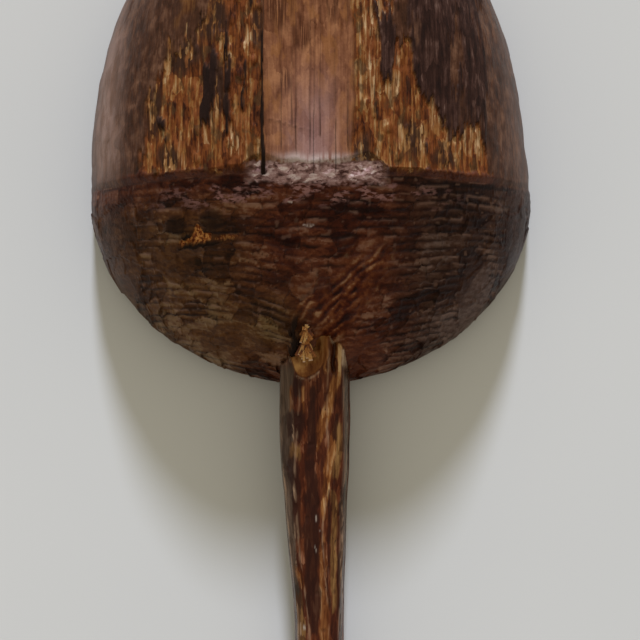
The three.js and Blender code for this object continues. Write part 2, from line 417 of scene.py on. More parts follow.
def ragged(column, seed):
    """A jagged offset, another one on each fibre bundle and each fibre of a bundle."""
    bundle = np.floor(column / FIBRE + 0.35 * noise(column / 7.0, 0.5, seed))
    fibre = np.floor(column / (FIBRE * 0.4))
    return (pick(bundle, seed) - 0.5) + 0.5 * (pick(fibre, seed + 5) - 0.5)


def patch(x, y, middle_x, middle_y, reach_x, reach_y):
    """Above 0 inside an oval patch, below 0 outside."""
    return 1 - ((x - middle_x) / reach_x) ** 2 - ((y - middle_y) / reach_y) ** 2


def patches(x, y, places, edge=0.12, tear=0.0):
    """A mask of oval patches, from (middle x, middle y, reach x, reach y) for each."""
    inside = np.maximum.reduce([patch(x, y, *place) for place in places])
    inside = inside + tear * fbm(x / 2.3, y / 9, 3, 38)
    return step(-edge, edge, inside)


def slits(column, up, jag, places):
    """A mask of gaps between fibres, from (place across, from, to, half width) for each."""
    mask = np.zeros(np.broadcast(column, up).shape)
    for number, (middle, start, end, reach) in enumerate(places):
        away = np.abs(column - middle - 1.2 * noise(up / 11, 0 * up + number, 35))
        width = reach * (1 + 0.7 * noise(up / 6, column / 2 + number, 36))
        ends = step(start - 1, start + 1, up + 11 * jag) * step(end + 1, end - 1, up + 11 * jag)
        mask = np.maximum(mask, step(width, width - 0.35, away) * ends)
    return mask


FIBRE_SLITS = [
    (-44, 26, 52, 2.3), (-36.3, 23, 51, 1.3), (-36, 57, 70, 0.8), (-29, 33, 55, 0.5),
    (-66, 18, 22, 1.6), (-26, 74, 90, 1.0), (29.5, 22, 34, 0.6), (52, 4, 9, 0.8),
]
LOOSE_CREAM = [  # where the golden splinters are paler, cream
    (-31, 12, 4, 12), (-28, 66, 3.4, 15), (-46, 19, 3, 6), (26, 54, 3.4, 24), (40, 38, 6, 5),
    (40, 57, 2.6, 10), (34, 78, 9, 6), (74, 17, 4, 8), (56, 23, 5, 6), (-54, 9, 6, 4), (30, 4, 6, 4),
]
GOLD_ISLANDS = [(67.5, 55, 4.6, 13), (27.4, 80, 2.6, 60), (34, 90, 8, 17)]
SMOKED = [(33, 57, 4.5, 22), (60, 55, 16, 45), (76, 48, 8, 30), (66, 100, 22, 34)]
AMBER = [(-44, 80, 22, 30)]
STRIP_STAINS = [(-14, 76, 7, 14), (-4, 62, 4, 8), (10, 84, 6, 15), (-11, 40, 3, 6)]
LOG_SHADE = [  # darker patches of the golden layer
    (-57, 56, 9, 10), (-64, 8, 5, 6), (-22, 66, 3, 9), (-71, 30, 5, 14), (45, 16, 6, 8),
    (-46, 70, 9, 10), (60, 8, 6, 5), (24, 10, 3, 8), (-40, 38, 3, 12),
]


def crown_masks(column, y):
    """Where the crown is golden and splintered, dark, worn smooth, or plain brown, and where in those it is
    paler cream, shaded, stained or amber."""
    wander = column + 1.6 * noise(column / 11, y / 26, 31) + 0.7 * noise(column / 3, y / 7, 32)
    up = y - OUTSIDE.front_ridge
    jag = ragged(column, 12)
    right = np.interp(wander, *zip(*RIGHT_GOLD_END)) - up + 7 * jag
    left = np.interp(wander, *zip(*LEFT_GOLD_END)) - up + 18 * jag + 16 * noise(column / 6, y / 10, 34)
    gold = step(-0.4, 0.4, np.where(column > 0, right, left))
    low_end = up - 1.0 - 2.2 * fbm(column / 7, 0 * up, 3, 37) - 2.4 * np.abs(jag)
    gold = gold * step(-80, -74, column) * step(86, 82, wander) * step(-0.4, 0.6, low_end)
    recesses = slits(column, up, jag, FIBRE_SLITS)
    jagged = up + 14 * jag + 3 * noise(column / 3, y / 9, 33)
    islands = patches(wander, jagged, GOLD_ISLANDS)
    gold = np.maximum(gold * (1 - recesses), islands * step(50, 40, column))
    dark = patches(wander + 1.5 * jag, jagged, SMOKED, 0.35, 0.9)
    dark = np.maximum(dark * step(28, 30, column) * (1 - islands), recesses) * (1 - gold)
    strip = step(STRIP[0] - 0.6, STRIP[0] + 0.6, column) * step(STRIP[1] + 1.5, STRIP[1] - 1, wander)
    keep = 1 - strip
    plain = (1 - gold) * (1 - dark) * keep
    cream_patch = patches(wander, jagged, LOOSE_CREAM, 0.6)
    shade = patches(wander, up + 3 * jag, LOG_SHADE, 0.7)
    amber = patches(column, up, AMBER, 0.6, 0.5)
    amber = 0.8 * amber * plain * step(-0.2, 0.35, fbm(column / 8, y / 11, 3, 39))
    stain = patches(column, up, STRIP_STAINS, 0.7, 0.6) * strip
    return SimpleNamespace(
        gold=gold * keep, dark=dark * keep, strip=strip, plain=plain, cream_patch=cream_patch, shade=shade,
        low_end=low_end, recesses=recesses, amber=amber, stain=stain,
    )


def crack_depth(column, y):
    """The main check and the worn strip's hair cracks: depth in millimetres."""
    depth = np.zeros(np.broadcast(column, y).shape)
    up = y - OUTSIDE.front_ridge
    level = 0.0 * y
    bend = 0.35 * noise(y / 17, level, 5) + 0.12 * noise(y / 4, level, 6)
    main = 0.42 + 0.22 * noise(y / 7, level, 9) + 0.5 * step(40, 22, up) + 0.9 * step(9, -2, up)
    reach = step(-7, -2, up) * step(BACK_Y - 12, BACK_Y - 40, y) * (1 - 0.8 * step(48, 66, up))
    depth += 3.2 * reach * step(main, main * 0.4, np.abs(column - MAIN_CHECK - bend))
    for number, place in enumerate(HAIR_CRACKS):
        start = 1 + 30 * max(float(pick(number, 71)) - 0.6, 0)
        length = 45 + 60 * float(pick(number, 72))
        along = step(start - 2, start + 3, up) * step(start + length + 8, start + length - 8, up)
        waver = 0.25 * noise(y / 15, level + 3 * number, 73)
        width = 0.27 + 0.14 * noise(y / 9, level + 5 * number, 75)
        broken = step(-0.75, -0.5, noise(y / 16, level + 7 * number, 74))
        faint = 0.72 - 0.46 * step(16, 48, up)
        depth += faint * along * broken * step(width, 0.08, np.abs(column - place - waver))
    crossing = up - 24 + 0.30 * (column + 18) - 0.8 * noise(column / 4, 0 * up, 76)
    depth += 0.3 * step(0.45, 0.1, np.abs(crossing)) * step(-20, -18, column) * step(4, -6, column)
    return depth


def crown_relief(column, y, log):
    """The log's own surface: long flutes, torn fibres and a smooth worn strip."""
    flutes = 0.5 * fbm(column / 13, y / 95, 2, 41) * (1 - 0.75 * log.strip)
    grain = 0.05 * fbm(column / 1.3, y / 30, 2, 43) * (1 - 0.4 * log.strip)
    fibre = np.floor(column / 0.95 + 0.9 * noise(column / 3, y / 18, 46))
    part = np.floor(y / 14 + 9 * pick(fibre, 47))
    lift = hash01(fibre, part, 48)
    torn = 0.34 * lift + 0.46 * fbm(column / 1.3, y / 9, 3, 49)
    pits = 0.6 * step(0.45, 0.7, noise(column / 1.5, y / 6, 50))
    hollows = 0.4 * step(0.1, 0.6, noise(column / 4, y / 11, 52))
    splinters = log.gold * (1.0 + torn - pits - hollows)
    sunk = -0.5 * log.dark + 0.14 * log.dark * noise(column / 3, y / 24, 51)
    _, _, one, two, _ = cells(column / 6 + 0.4 * noise(column / 5, y / 7, 56), y / 11, 57)
    bruises = 0.30 * fbm(column / 6, y / 10, 2, 53) + 0.12 * noise(column / 2.2, y / 5, 54) + 0.2 * one
    dents = 0.10 * log.strip * fbm(column / 6, y / 9, 2, 55)
    tone = np.where(log.gold > 0.5, lift, 0.65 * one + 0.35 * two)
    return flutes + grain + splinters + sunk + log.plain * bruises + dents, tone


def ridge_wander(column):
    """How far the ridge strays along Y from its place, by place across."""
    scallop = 1.1 * noise(column / 17, 0.0 * column, 21) + 0.6 * noise(column / 6, 0.0 * column, 22)
    return scallop + 2.5 * step(50, 100, np.abs(column))


def nose_rows(points, arch, slope):
    """Place across and down the nose; the rings dip towards the handle, as round a branch."""
    x = points[..., 0]
    low = step(OUTSIDE.front_ridge - 4, FRONT_Y + 22, points[..., 1])
    reach = np.where(x < 3, 22.0, 36.0)
    dip = 15 * low * np.exp(-((x - 3) ** 2) / (2 * reach**2))
    return arch, slope + dip


SMOOTH_CUTS = [  # broad knife cuts on the nose: middle x, middle y, half sizes
    (-36, 25, 17, 9), (78, 46, 8, 19), (24, 19, 11, 10), (-90, 66, 10, 26), (98, 74, 6, 20),
    (-62, 62, 9, 9),
]


def nose_relief(points, across, down):
    """The hewn nose: cut rings as broken rows, small chips, and broad cuts near the edges; its tone, lines
    and glints also paint light and shade on them.
    """
    x, y = points[..., 0], points[..., 1]
    sag = noise(across / 22, down / 30, 61) + 0.45 * noise(across / 7, down / 9, 62)
    row = (down + sag + 0.25 * noise(across / 2.4, down / 4, 60)) / RING_PITCH
    number = np.floor(row)
    part = row - number
    low = step(14, 7, points[..., 2])
    calm = np.clip(patches(x, y, SMOOTH_CUTS, 0.2) + low + 0.6 * step(86, 100, np.abs(x)), 0, 1)
    rows = 1 - 0.9 * calm
    vigour = step(-0.85, 0.0, noise(across / 14, 7.31 * number, 63) + 0.4 * step(16, 40, x)) * rows
    slip = across + 2.6 * noise(number * 3.7, down / 60, 58)
    chip_length = 6.5 + 7.0 * pick(number.astype(int), 59)
    chip_place = slip / chip_length + 0.35 * noise(slip / 9, 0.37 * number, 57)
    chip = hash01(np.floor(chip_place), number, 64)
    chip_part = chip_place - np.floor(chip_place)
    chip_end = np.minimum(chip_part, 1 - chip_part)
    crest = np.clip(np.sin(math.pi * part), 0, 1) ** 1.2
    ripple = crest * (0.45 + 0.55 * chip) * vigour * step(0.0, 0.10, chip_end)
    bend = 0.35 * noise(across / 6, down / 6, 65)
    dx, dy, one, two, border = cells(across / 12 + bend, down / 8 + bend, 66)
    cut = 1.5 * (dx * (2 * one - 1) + 0.8 * dy * (2 * two - 1)) * (1 - 0.4 * calm)
    cut = cut - 0.45 * step(0.08, 0.0, border) * rows
    big = 24 * facets(across / 30, down / 24, 67, 0.028)
    edge = step(60, 95, np.abs(x))
    relief = 0.75 * ripple + cut * (1 - 0.6 * edge) + big * (0.3 + 0.5 * edge)
    relief = relief + 0.14 * fbm(across / 2.0, down / 1.3, 2, 68) * (0.4 + 0.6 * rows)
    quiet = 1 - 0.45 * step(14, 44, x)
    # the rows' crests are painted lighter than their grooves, as painted light; the cells' own tone varies
    # at random
    tone = 0.41 + 0.25 * quiet * crest * (chip - 0.25) * vigour + 0.32 * (one - 0.5) * (1 - 0.55 * calm)
    # painted sheen: the smooth lens-shaped facet on the right is painted a lighter tone
    lens = patches(x - 0.42 * (y - 46), y, [(79, 46, 6.5, 19)], 0.1)
    tone = tone + 0.30 * fbm(across / 14, down / 9, 3, 70) * rows + 0.14 * step(72, 34, y)
    tone = tone * (1 - lens) + 0.66 * lens + (0.05 + 0.07 * step(0, 30, x)) * (crest - 0.6) * vigour
    # painted shade: dark lines in the grooves between the rows and along the cuts' borders
    groove = np.exp(-((part / 0.19) ** 2)) + np.exp(-(((1 - part) / 0.14) ** 2))
    line = groove * vigour * (0.45 + 0.9 * noise(across / 9, down / 4, 55))
    line = line + 0.7 * rows * step(0.05, 0.0, border)
    # painted highlights: a lit band on the upper edge of some chips, and pinkish nicks, returned as the
    # glint mask
    upper_edge = np.exp(-(((part - 0.7) / 0.16) ** 2))
    lit = upper_edge * step(0.72, 0.95, chip) * vigour * step(0.05, 0.2, chip_end)
    nick = step(0.70, 0.84, noise(across / 3.0, down / 1.4, 71)) * rows
    return relief, tone, np.clip(line, 0, 1), np.clip(lit + 0.6 * nick, 0, 1)


def spine_field(x, y):
    """The twisted fibres that run from the nose down over the handle's root."""
    t = np.clip(y - (FRONT_Y + 20), 0, None) / 19
    middle = 6.5 + 10.5 * t**0.87 + 1.6 * noise(y / 7, 0 * y, 80)
    reach = 5.5 + 3.4 * np.clip(t, 0, 1.3)
    along = step(FRONT_Y + 80, FRONT_Y + 48, y + 9 * noise(x / 4, y / 9, 82))
    along = along * step(FRONT_Y + 8, FRONT_Y + 17, y)
    body = np.exp(-(np.abs((x - middle) / reach) ** 2.6)) * along
    beside = np.exp(-(((x - 1) / 9) ** 2) - ((y - FRONT_Y - 38) / 11) ** 2)
    twist = (x - middle) * 1.05 - (y - FRONT_Y) * 0.72 + 2.6 * fbm(x / 5, y / 7, 2, 81)
    strands = np.sin(twist) * (0.35 + 0.6 * noise(x / 4, y / 6, 79)) + 0.9 * fbm(x / 3.5, y / 3.5, 3, 78)
    return np.clip(body + 0.8 * beside, 0, 1), np.clip(strands, -1, 1)


def slot_depth(x, y):
    """The dark slot beside the handle's root."""
    along = step(FRONT_Y + 12, FRONT_Y + 15, y) * step(FRONT_Y + 36, FRONT_Y + 29, y)
    middle = -7.4 + 0.06 * (y - FRONT_Y - 26)
    middle = middle + 1.0 * noise(y / 4.5, 0 * y, 83) + 0.7 * noise(y / 1.2, x / 2, 86)
    width = 1.7 + 1.1 * noise(y / 2.2, step(0, 1, x - middle), 84)
    splinter_gap = step(-0.9, -0.6, noise((x + 0.4 * y) / 1.1, y / 3.5, 88))
    return 4.0 * along * step(width, width * 0.6, np.abs(x - middle)) * splinter_gap


def torn_spot(x, y):
    """A torn orange spot on the nose: flakes lifted over a dark slit, and how high each stands."""
    tilt = y - 0.16 * (x + 50) + 0.5 * noise(x / 1.3, y / 2, 85)
    peak = 73.6 + 5.6 * np.exp(-(((x + 51.5) / 1.9) ** 2)) + 1.2 * np.exp(-(((x + 47) / 5.5) ** 2))
    ends = step(-60.5, -59, x) * step(-44.5, -46, x)
    flake = step(71.2, 71.7, tilt) * step(peak + 0.3, peak - 0.3, tilt) * ends
    flake = flake * step(-0.95, -0.75, fbm(x / 3.4, y / 2.2, 2, 84))
    flake = np.maximum(flake, 0.45 * patches(x, tilt, [(-38, 71.4, 6, 1.1)], 0.8))
    slit = patches(x, tilt, [(-50, 70.4, 11, 0.9), (-56, 75, 3, 0.8)], 0.3)
    slit = np.maximum(slit, 0.75 * patches(x, y, [(-61, 79, 4.5, 4.5), (-44, 81, 5.5, 5)], 0.6))
    rise = 1.1 + 0.7 * noise((x + tilt) / 1.3, tilt / 4, 86)
    return flake, slit * (1 - flake), rise


def rim_band(points, across):
    """A narrow flat, left where the wall was cut back above the rim."""
    z = points[..., 2]
    patchy = step(-0.35, 0.05, noise(across / 40, 0 * across, 87))
    edge = step(9.0, 7.5, z + 1.2 * noise(across / 9, 0 * across, 88))
    return edge * patchy * step(FRONT_Y + 60, FRONT_Y + 30, points[..., 1])


def outside_grid():
    """The outside's smooth form, with columns crowded at the cracks, and the ridge's wander."""
    fine = [place + off for place in HAIR_CRACKS for off in (-0.4, -0.12, 0.12, 0.4)]
    fine += [MAIN_CHECK + off for off in (-1.4, -0.9, -0.5, -0.15, 0.15, 0.5, 0.9, 1.4)]
    columns = column_places(OUTSIDE, OUTSIDE_COLUMNS, fine)
    rows = row_places(OUTSIDE, OUTSIDE_ROWS)
    column = np.broadcast_to(columns[None, :], (len(rows), len(columns)))
    wander = ridge_wander(columns)[None, :]
    chamfer = 3.0 + 6.0 * step(34, 24, np.abs(column - 2))
    return rows, column, wander, form_grid(OUTSIDE, rows, columns, wander, chamfer)


def ridge_masks(column, along, up, low_end):
    """The ridge's crumbled middle, the dark shelf beside it, and the scratched fringe below it."""
    centre = step(33, 26, np.abs(column - 3))
    fray = noise(column / 4, 0 * up, 90) + 0.8 * noise(column / 1.3, 0 * up, 89)
    crumbly = step(-4.5, -2.5, up + fray) * step(5.2, 4.2, up + 0.5 * fray) * centre
    shelf = step(-0.8, 0.2, up) * step(0.8, -0.6, low_end) * (1 - centre) * step(92, 80, np.abs(column))
    under = step(-16, -10, up) * step(-2, -5, up) * step(84, 30, np.abs(column + 4))
    bent = column + 1.5 * noise(column / 3, along / 2, 99)
    scratches = fbm(bent / 5 + along / 9, along / 2.4 + 0.3 * np.sin(bent / 4), 3, 98)
    return crumbly, shelf, under * step(-0.04, 0.24, scratches)


def crumb_relief(column, along):
    """The ridge's crumbled edge: lumps, and chips out of them."""
    crumbs = fbm(column / 2.6, along / 1.5, 3, 91)
    chips = step(0.2, 0.5, noise(column / 3.4, along / 1.9, 93))
    return 0.7 * crumbs - 0.5 * chips


def painted_side_sheen(x, z, up):
    """Where the flanks carry a painted grey sheen, more on the left than on the right."""
    side = np.where(x < 0, step(-81, -97, x), 0.16 * step(84, 100, x))
    return side * step(14, 50, z) * step(-4, 14, up)


def outside_surface():
    """The bowl's outside, cut and worn, and a mask for each of its looks."""
    rows, column, wander, points = outside_grid()
    normals = grid_normals(points)
    slope = running_length(rows, crown_at(OUTSIDE, rows))[:, None]
    x, z = points[..., 0], points[..., 2]
    along = np.broadcast_to(rows[:, None], x.shape)
    up = along - (OUTSIDE.front_ridge - wander)
    nose = step(0.8, -0.8, up)
    back = step(OUTSIDE.back_ridge - 1, OUTSIDE.back_ridge + 1, along)

    log = crown_masks(column, along)
    depth = crack_depth(column, along)
    crumbly, shelf, fringe = ridge_masks(column, along, up, log.low_end)
    crown, lift = crown_relief(column, along, log)
    crown = crown - 0.25 * shelf - depth

    across, down = nose_rows(points, arch_length(points), slope)
    cut_end, tone, line, glint = nose_relief(points, across, down)
    spine, strands = spine_field(x, along)
    tongue = step(FRONT_Y + 40, FRONT_Y + 22, along)
    slot = slot_depth(x, along)
    lip, slit, proud = torn_spot(x, along)
    rim = rim_band(points, across)
    hewn = cut_end * (1 - 0.7 * spine) + spine * (1.0 + 1.6 * tongue + 0.6 * strands)
    hewn = hewn - slot + 1.3 * rim + lip * proud - 1.3 * slit + 0.7 * fringe
    hewn = hewn * (0.35 + 0.65 * step(0, -10, up))

    relief = crown * (1 - nose) + hewn * nose + crumbly * crumb_relief(column, along)
    relief = relief * (1 - back) + 0.9 * cut_end * back
    tips = np.minimum(along - OUTSIDE.front, OUTSIDE.back - along)
    relief = relief * step(0.0, 2.5, tips) * step(1.0, 6.0, z)
    carved = points + normals * (relief - SKIN)[..., None]
    carved[..., 2] = np.maximum(carved[..., 2], RIM_ROUND)
    carved[0] = (0, OUTSIDE.front + SKIN, RIM_ROUND)
    carved[-1] = (0, OUTSIDE.back - SKIN, RIM_ROUND)

    crown_part = (1 - nose) * (1 - crumbly) * (1 - back)
    near_handle = np.exp(-(((x + 16) / 15) ** 2) - ((along - FRONT_Y - 30) / 16) ** 2)
    left = step(-12, -48, x) * step(OUTSIDE.front_ridge, OUTSIDE.front_ridge - 24, along)
    # painted sheen: the worn strip turns pinker and paler towards the ridge
    pink = np.exp(-(((column - 2) / 11) ** 2)) * step(60, 4, up)
    # painted highlights, kept in the worn mask: a pale pink edge above the ridge and white glints on the
    # nose
    ridge_highlight = np.exp(-(((column - 3) / 17) ** 4)) * step(10, 5.0, up) * (1 - nose) * (1 - crumbly)
    glint_fleck = patches(x, along, GLINT_FLECKS, 0.3) * nose
    crack = np.clip(depth + 0.7 * log.recesses, 0, 1) * (1 - nose)
    zones = {
        "gold": log.gold * crown_part,
        "dark": log.dark * crown_part,
        "shelf": shelf * crown_part,
        "amber": log.amber * crown_part,
        "stain": log.stain * crown_part,
        "strip": log.strip * crown_part,
        "pink": pink * log.strip * crown_part,
        "crumbly": crumbly,
        "hewn": np.clip(nose + back, 0, 1),
        "worn": np.clip(ridge_highlight + glint_fleck, 0, 1),
        "olive": np.clip(0.75 * left + near_handle, 0, 1) * nose,
        "purple": step(22, 60, x) * nose,
        "grey": painted_side_sheen(x, carved[..., 2], up),
        "cream_patch": log.cream_patch * log.gold * crown_part,
        "shade": log.shade * (1 - log.strip) * crown_part,
        "fringe": fringe * nose,
        "crack": crack + np.clip(slot / 2.0 + slit, 0, 1) * nose,
        "torn": lip * nose,
        "tone": np.where(nose + back > 0.5, tone, lift),
        "line": line * (nose + back) * (1 - spine) * (1 - lip),
        # painted glints on the nose and the far end
        "glint": glint * (nose + back) * (1 - spine),
        "spine": spine * nose,
        "strand": strands * 0.5 + 0.5,
        "rim": rim * nose,
    }
    return carved, zones


def inside_surface(row_count):
    """The hollow: shallow gouge cuts side by side, worn smooth."""
    columns = column_places(HOLLOW, 150)
    rows = row_places(HOLLOW, row_count)
    points = form_grid(HOLLOW, rows, columns)
    normals = grid_normals(points)
    arch = arch_length(points)
    slope = running_length(rows, crown_at(HOLLOW, rows))[:, None]
    bend = 0.3 * noise(arch / 30, slope / 30, 111)
    dx, dy, one, two, border = cells(arch / 13 + bend, slope / 24, 112)
    scoops = 0.55 * (dx * dx + dy * dy) * (0.6 + 0.8 * one) + 0.25 * (two - 0.5)
    tips = np.minimum(points[..., 1] - HOLLOW.front, HOLLOW.back - points[..., 1])
    scoops = scoops * step(0.0, 4.0, tips) * step(2.0, 9.0, points[..., 2])
    points = points - normals * scoops[..., None]
    points[0] = (0, HOLLOW.front, RIM_ROUND)
    points[-1] = (0, HOLLOW.back, RIM_ROUND)
    zones = {"tone": one, "hollow": np.ones_like(one), "line": step(0.12, 0.0, border)}
    return points, zones


BOWL_MASKS = (
    "gold", "dark", "strip", "pink", "crumbly", "hewn", "olive", "purple", "grey", "crack", "torn",
    "tone", "line", "glint", "spine", "strand", "rim", "hollow", "worn", "cream_patch", "shade", "fringe",
    "shelf", "amber", "stain",
)
# the rim's rounding takes some of the flanks' painted grey sheen
RIM_MASKS = {"hewn": 1.0, "tone": 0.4, "grey": 0.6}


def build_bowl():
    """The bowl: its outside and its hollow, joined round the rim by rounded edges and a flat."""
    outer_points, outer_zones = outside_surface()
    inner_points, inner_zones = inside_surface((len(outer_points) - 1) // ROWS_PER_INNER + 1)
    outer = Dome(outer_points, 0)
    inner = Dome(inner_points, len(outer.points))
    points = [outer.points, inner.points]
    faces = outer.faces(False) + inner.faces(True)
    walls = ((outer, outer_zones), (inner, inner_zones))
    masks = {name: [dome.values(zones, name) for dome, zones in walls] for name in BOWL_MASKS}
    total = len(outer.points) + len(inner.points)

    edges = []
    for dome, inwards, flip in ((outer, 1, True), (inner, -1, False)):
        ring = dome.rim()
        for loop in rim_loops(dome.points[ring - dome.front], inwards):
            numbers = total + np.arange(len(loop))
            faces.append(ring_faces(ring, numbers, flip))
            points.append(loop)
            for name in BOWL_MASKS:
                masks[name].append(np.full(len(loop), RIM_MASKS.get(name, 0.0)))
            total += len(loop)
            ring = numbers
        edges.append(ring)

    # The rim's flat: each step of the inner loop meets four steps of the outer one.
    fine, coarse = edges
    start = np.arange(len(coarse))[:, None] * ROWS_PER_INNER
    around = (start + np.arange(ROWS_PER_INNER + 1)) % len(fine)
    flat = np.concatenate([fine[around], np.roll(coarse, -1)[:, None], coarse[:, None]], axis=1)
    faces.append(flat[:, ::-1])
    masks = {name: np.concatenate(values) for name, values in masks.items()}
    return make_mesh("bowl_hewn", np.concatenate(points), faces, masks)


# ------------------------------------------------------------------ the handle

HANDLE_STATIONS = [  # place along Y from the bowl's front, middle x, middle z, half width, half height
    (24, 1.4, 25.5, 16.6, 19.5),
    (-2, 1.3, 24.0, 17.3, 19.0),
    (-30, 1.3, 22.6, 17.0, 17.6),
    (-72, 2.3, 21.0, 14.0, 14.4),
    (-116, 4.3, 20.0, 11.2, 12.0),
    (-180, 4.7, 19.6, 11.2, 12.0),
    (END_Y - FRONT_Y, 4.8, 19.4, 12.6, 12.8),
]
HANDLE_SQUARENESS = 2.5
HANDLE_CUTS = 9
END_ROUND, ROOT_ROUND = 9.0, 7.0
ROOT_Y = FRONT_Y + 24  # the root's end, behind the bowl's front
BURIED_FROM = FRONT_Y + 12  # behind here the root may be drawn in, to stay inside the bowl's wall
WALL_COVER = 3.5  # the least wood left between the root and the hollow
SCOOP = SimpleNamespace(x=-4.0, y=FRONT_Y + 19.5, z=51.0, reach=(15.5, 20.5, 12.5))
TENON = SimpleNamespace(x=1.3, z=24.0, width=18.0, height=15.0, start=FRONT_Y - 20, end=FRONT_Y + 37)
SLOT = SimpleNamespace(start=TENON.end - 11, mouth=4.2, end=1.8)


def handle_course(y):
    """The handle's middle and half sizes at each y, eased through its stations."""
    places, *columns = (np.array(c) for c in zip(*HANDLE_STATIONS[::-1]))
    fine = np.linspace(END_Y - 40, FRONT_Y + 64, 1200)
    window = np.hanning(160)
    eased = []
    for column in columns:
        raw = np.interp(fine, places + FRONT_Y, column)
        padded = np.pad(raw, 80, mode="edge")
        smooth = np.convolve(padded, window / window.sum(), mode="same")[80:-80]
        eased.append(np.interp(y, fine, smooth))
    return eased


def cut_distance(angle, y, half_width, half_height, number):
    """How far a long knife cut lies from the handle's middle, for a cut facing this angle."""
    share = HANDLE_SQUARENESS / (HANDLE_SQUARENESS - 1)
    support = np.abs(half_width * np.cos(angle)) ** share + np.abs(half_height * np.sin(angle)) ** share
    support = support ** (1 / share)
    depth = 0.035 * noise(y / 38, 0 * y + 5 * number, 132) + 0.012 * noise(y / 13, 0 * y + 3 * number, 131)
    return support * (0.985 + depth)


def handle_radius(angle, y, half_width, half_height):
    """The section's radius, from flat cuts that meet in slightly worn edges, and those edges."""
    total, nearest, second = 0.0, 1e9, 1e9
    for number in range(HANDLE_CUTS):
        facing = 2 * math.pi * (number + 0.35) / HANDLE_CUTS + 0.13 * noise(y / 70, 0 * y + number, 133)
        distance = cut_distance(facing, y, half_width, half_height, number)
        reach = distance / np.maximum(np.cos(angle - facing), 0.05)
        total = total + reach ** -40.0
        second = np.minimum(second, np.maximum(nearest, reach))
        nearest = np.minimum(nearest, reach)
    return total ** (-1 / 40), step(0.5, 0.1, second - nearest)


def dome_height(x, y):
    """The bowl's outer height under the handle's root."""
    width = np.maximum(half_width_at(OUTSIDE, y), 1e-3)
    level = crown_at(OUTSIDE, y)
    height = RIM_ROUND + (level - RIM_ROUND) * quadrant(x / width, OUTSIDE.power)
    return np.where(y < OUTSIDE.front, 0, height)


def band(x, y, course, crisp=0.35):
    """A streak along the handle, from (place along Y, middle across, half width) for each turn."""
    places, middles, reaches = (np.array(c, float) for c in zip(*course[::-1]))
    middle = np.interp(y, places, middles)
    middle = middle + 0.7 * noise(y / 9, x / 6, 141) + 0.25 * noise(y / 3, x / 2, 142)
    reach = np.interp(y, places, reaches) * (1 + 0.25 * noise(y / 5, x / 3, 143))
    ends = step(places[0] - 1, places[0] + 1.5, y + 2 * noise(x, y / 4, 144))
    ends = ends * step(places[-1] + 1, places[-1] - 1.5, y + 2 * noise(x, y / 4, 145))
    return step(crisp, -crisp, np.abs(x - middle) - reach) * ends


# Streaks along the handle, each as (place along Y, middle across, half width) for every turn.
HONEY_STREAKS = [
    [
        (27, 13.5, 1.2), (11, 12.6, 1.9), (2, 11.2, 2.2), (-5, 8.8, 2.4), (-13, 6.4, 2.5),
        (-19, 5.0, 2.1), (-26, 3.6, 0.5),
    ],
    [(-14, 12.6, 0.6), (-26, 9.8, 1.7), (-38, 8.3, 1.9), (-50, 6.9, 1.5), (-60, 6.2, 0.7)],
    [(3, -9.3, 0.7), (-7, -8.8, 0.9)], [(3, -3.6, 0.4), (-9, -3.3, 0.7)],
    [(-68, 5.4, 1.4), (-94, 6.4, 1.9), (-112, 6.5, 2.6), (-150, 7.5, 1.8)],
    [(-82, -7, 1.0), (-88, -5.6, 2.2), (-96, -3.4, 1.0)],
]
OLIVE_STREAKS = [
    [(-13, 14.2, 1.0), (-24, 13.6, 2.0), (-40, 12.0, 1.5)], [(-23.4, -7.9, 2.9), (-31, -7.9, 2.9)],
    [(-45, 11.2, 1.3), (-80, 10.9, 1.5), (-106, 11.2, 1.2)], [(-96, -6.4, 1.6), (-130, -4.0, 2.2)],
]
DARK_STREAKS = [
    [(9, -6, 1.8), (-2, -6.2, 1.4)], [(-7, -7.2, 3.3), (-22, -7.4, 3.4)], [(3, 1.0, 1.3), (-30, 0.4, 2.2)],
    [(-30, 0, 2.6), (-60, 0.4, 3.8), (-100, 0.8, 3.6), (-116, 1.4, 1.5)],
    [(-30, -8.5, 2.5), (-70, -5.6, 1.9)], [(-8, 13.0, 0.8), (-22, 11.8, 0.8)],
    [(-44, 8.9, 0.45), (-104, 8.4, 0.45)], [(-60, 12.9, 0.5), (-110, 13.4, 0.5)],
]
SCUFFS = [
    [(-57, 2.4, 0.2), (-60, 3.0, 0.2)], [(-64, 4.0, 0.2), (-66, 4.3, 0.2)],
    [(-72, 1.9, 0.22), (-75, 2.8, 0.25)], [(-110.5, -3.6, 0.5), (-114.5, -3.6, 0.5)],
]
# Across, as a share of the half width: where the left side's painted grey sheen starts, by place along Y.
LEFT_CUT = [(-120, -0.80), (-60, -0.66), (-30, -0.58), (4, -0.56)]
ROOT_END = [  # how far behind the bowl's front the root shows, by place across
    (-17, 11), (-14, 15), (-10, 18), (-6, 20), (4, 22), (6, 28), (9.5, 28), (12, 27), (16, 26), (18.5, 21),
]


def streaks(x, y, courses, crisp=0.35):
    """A mask of several streaks."""
    return np.maximum.reduce([band(x, y, course, crisp) for course in courses])


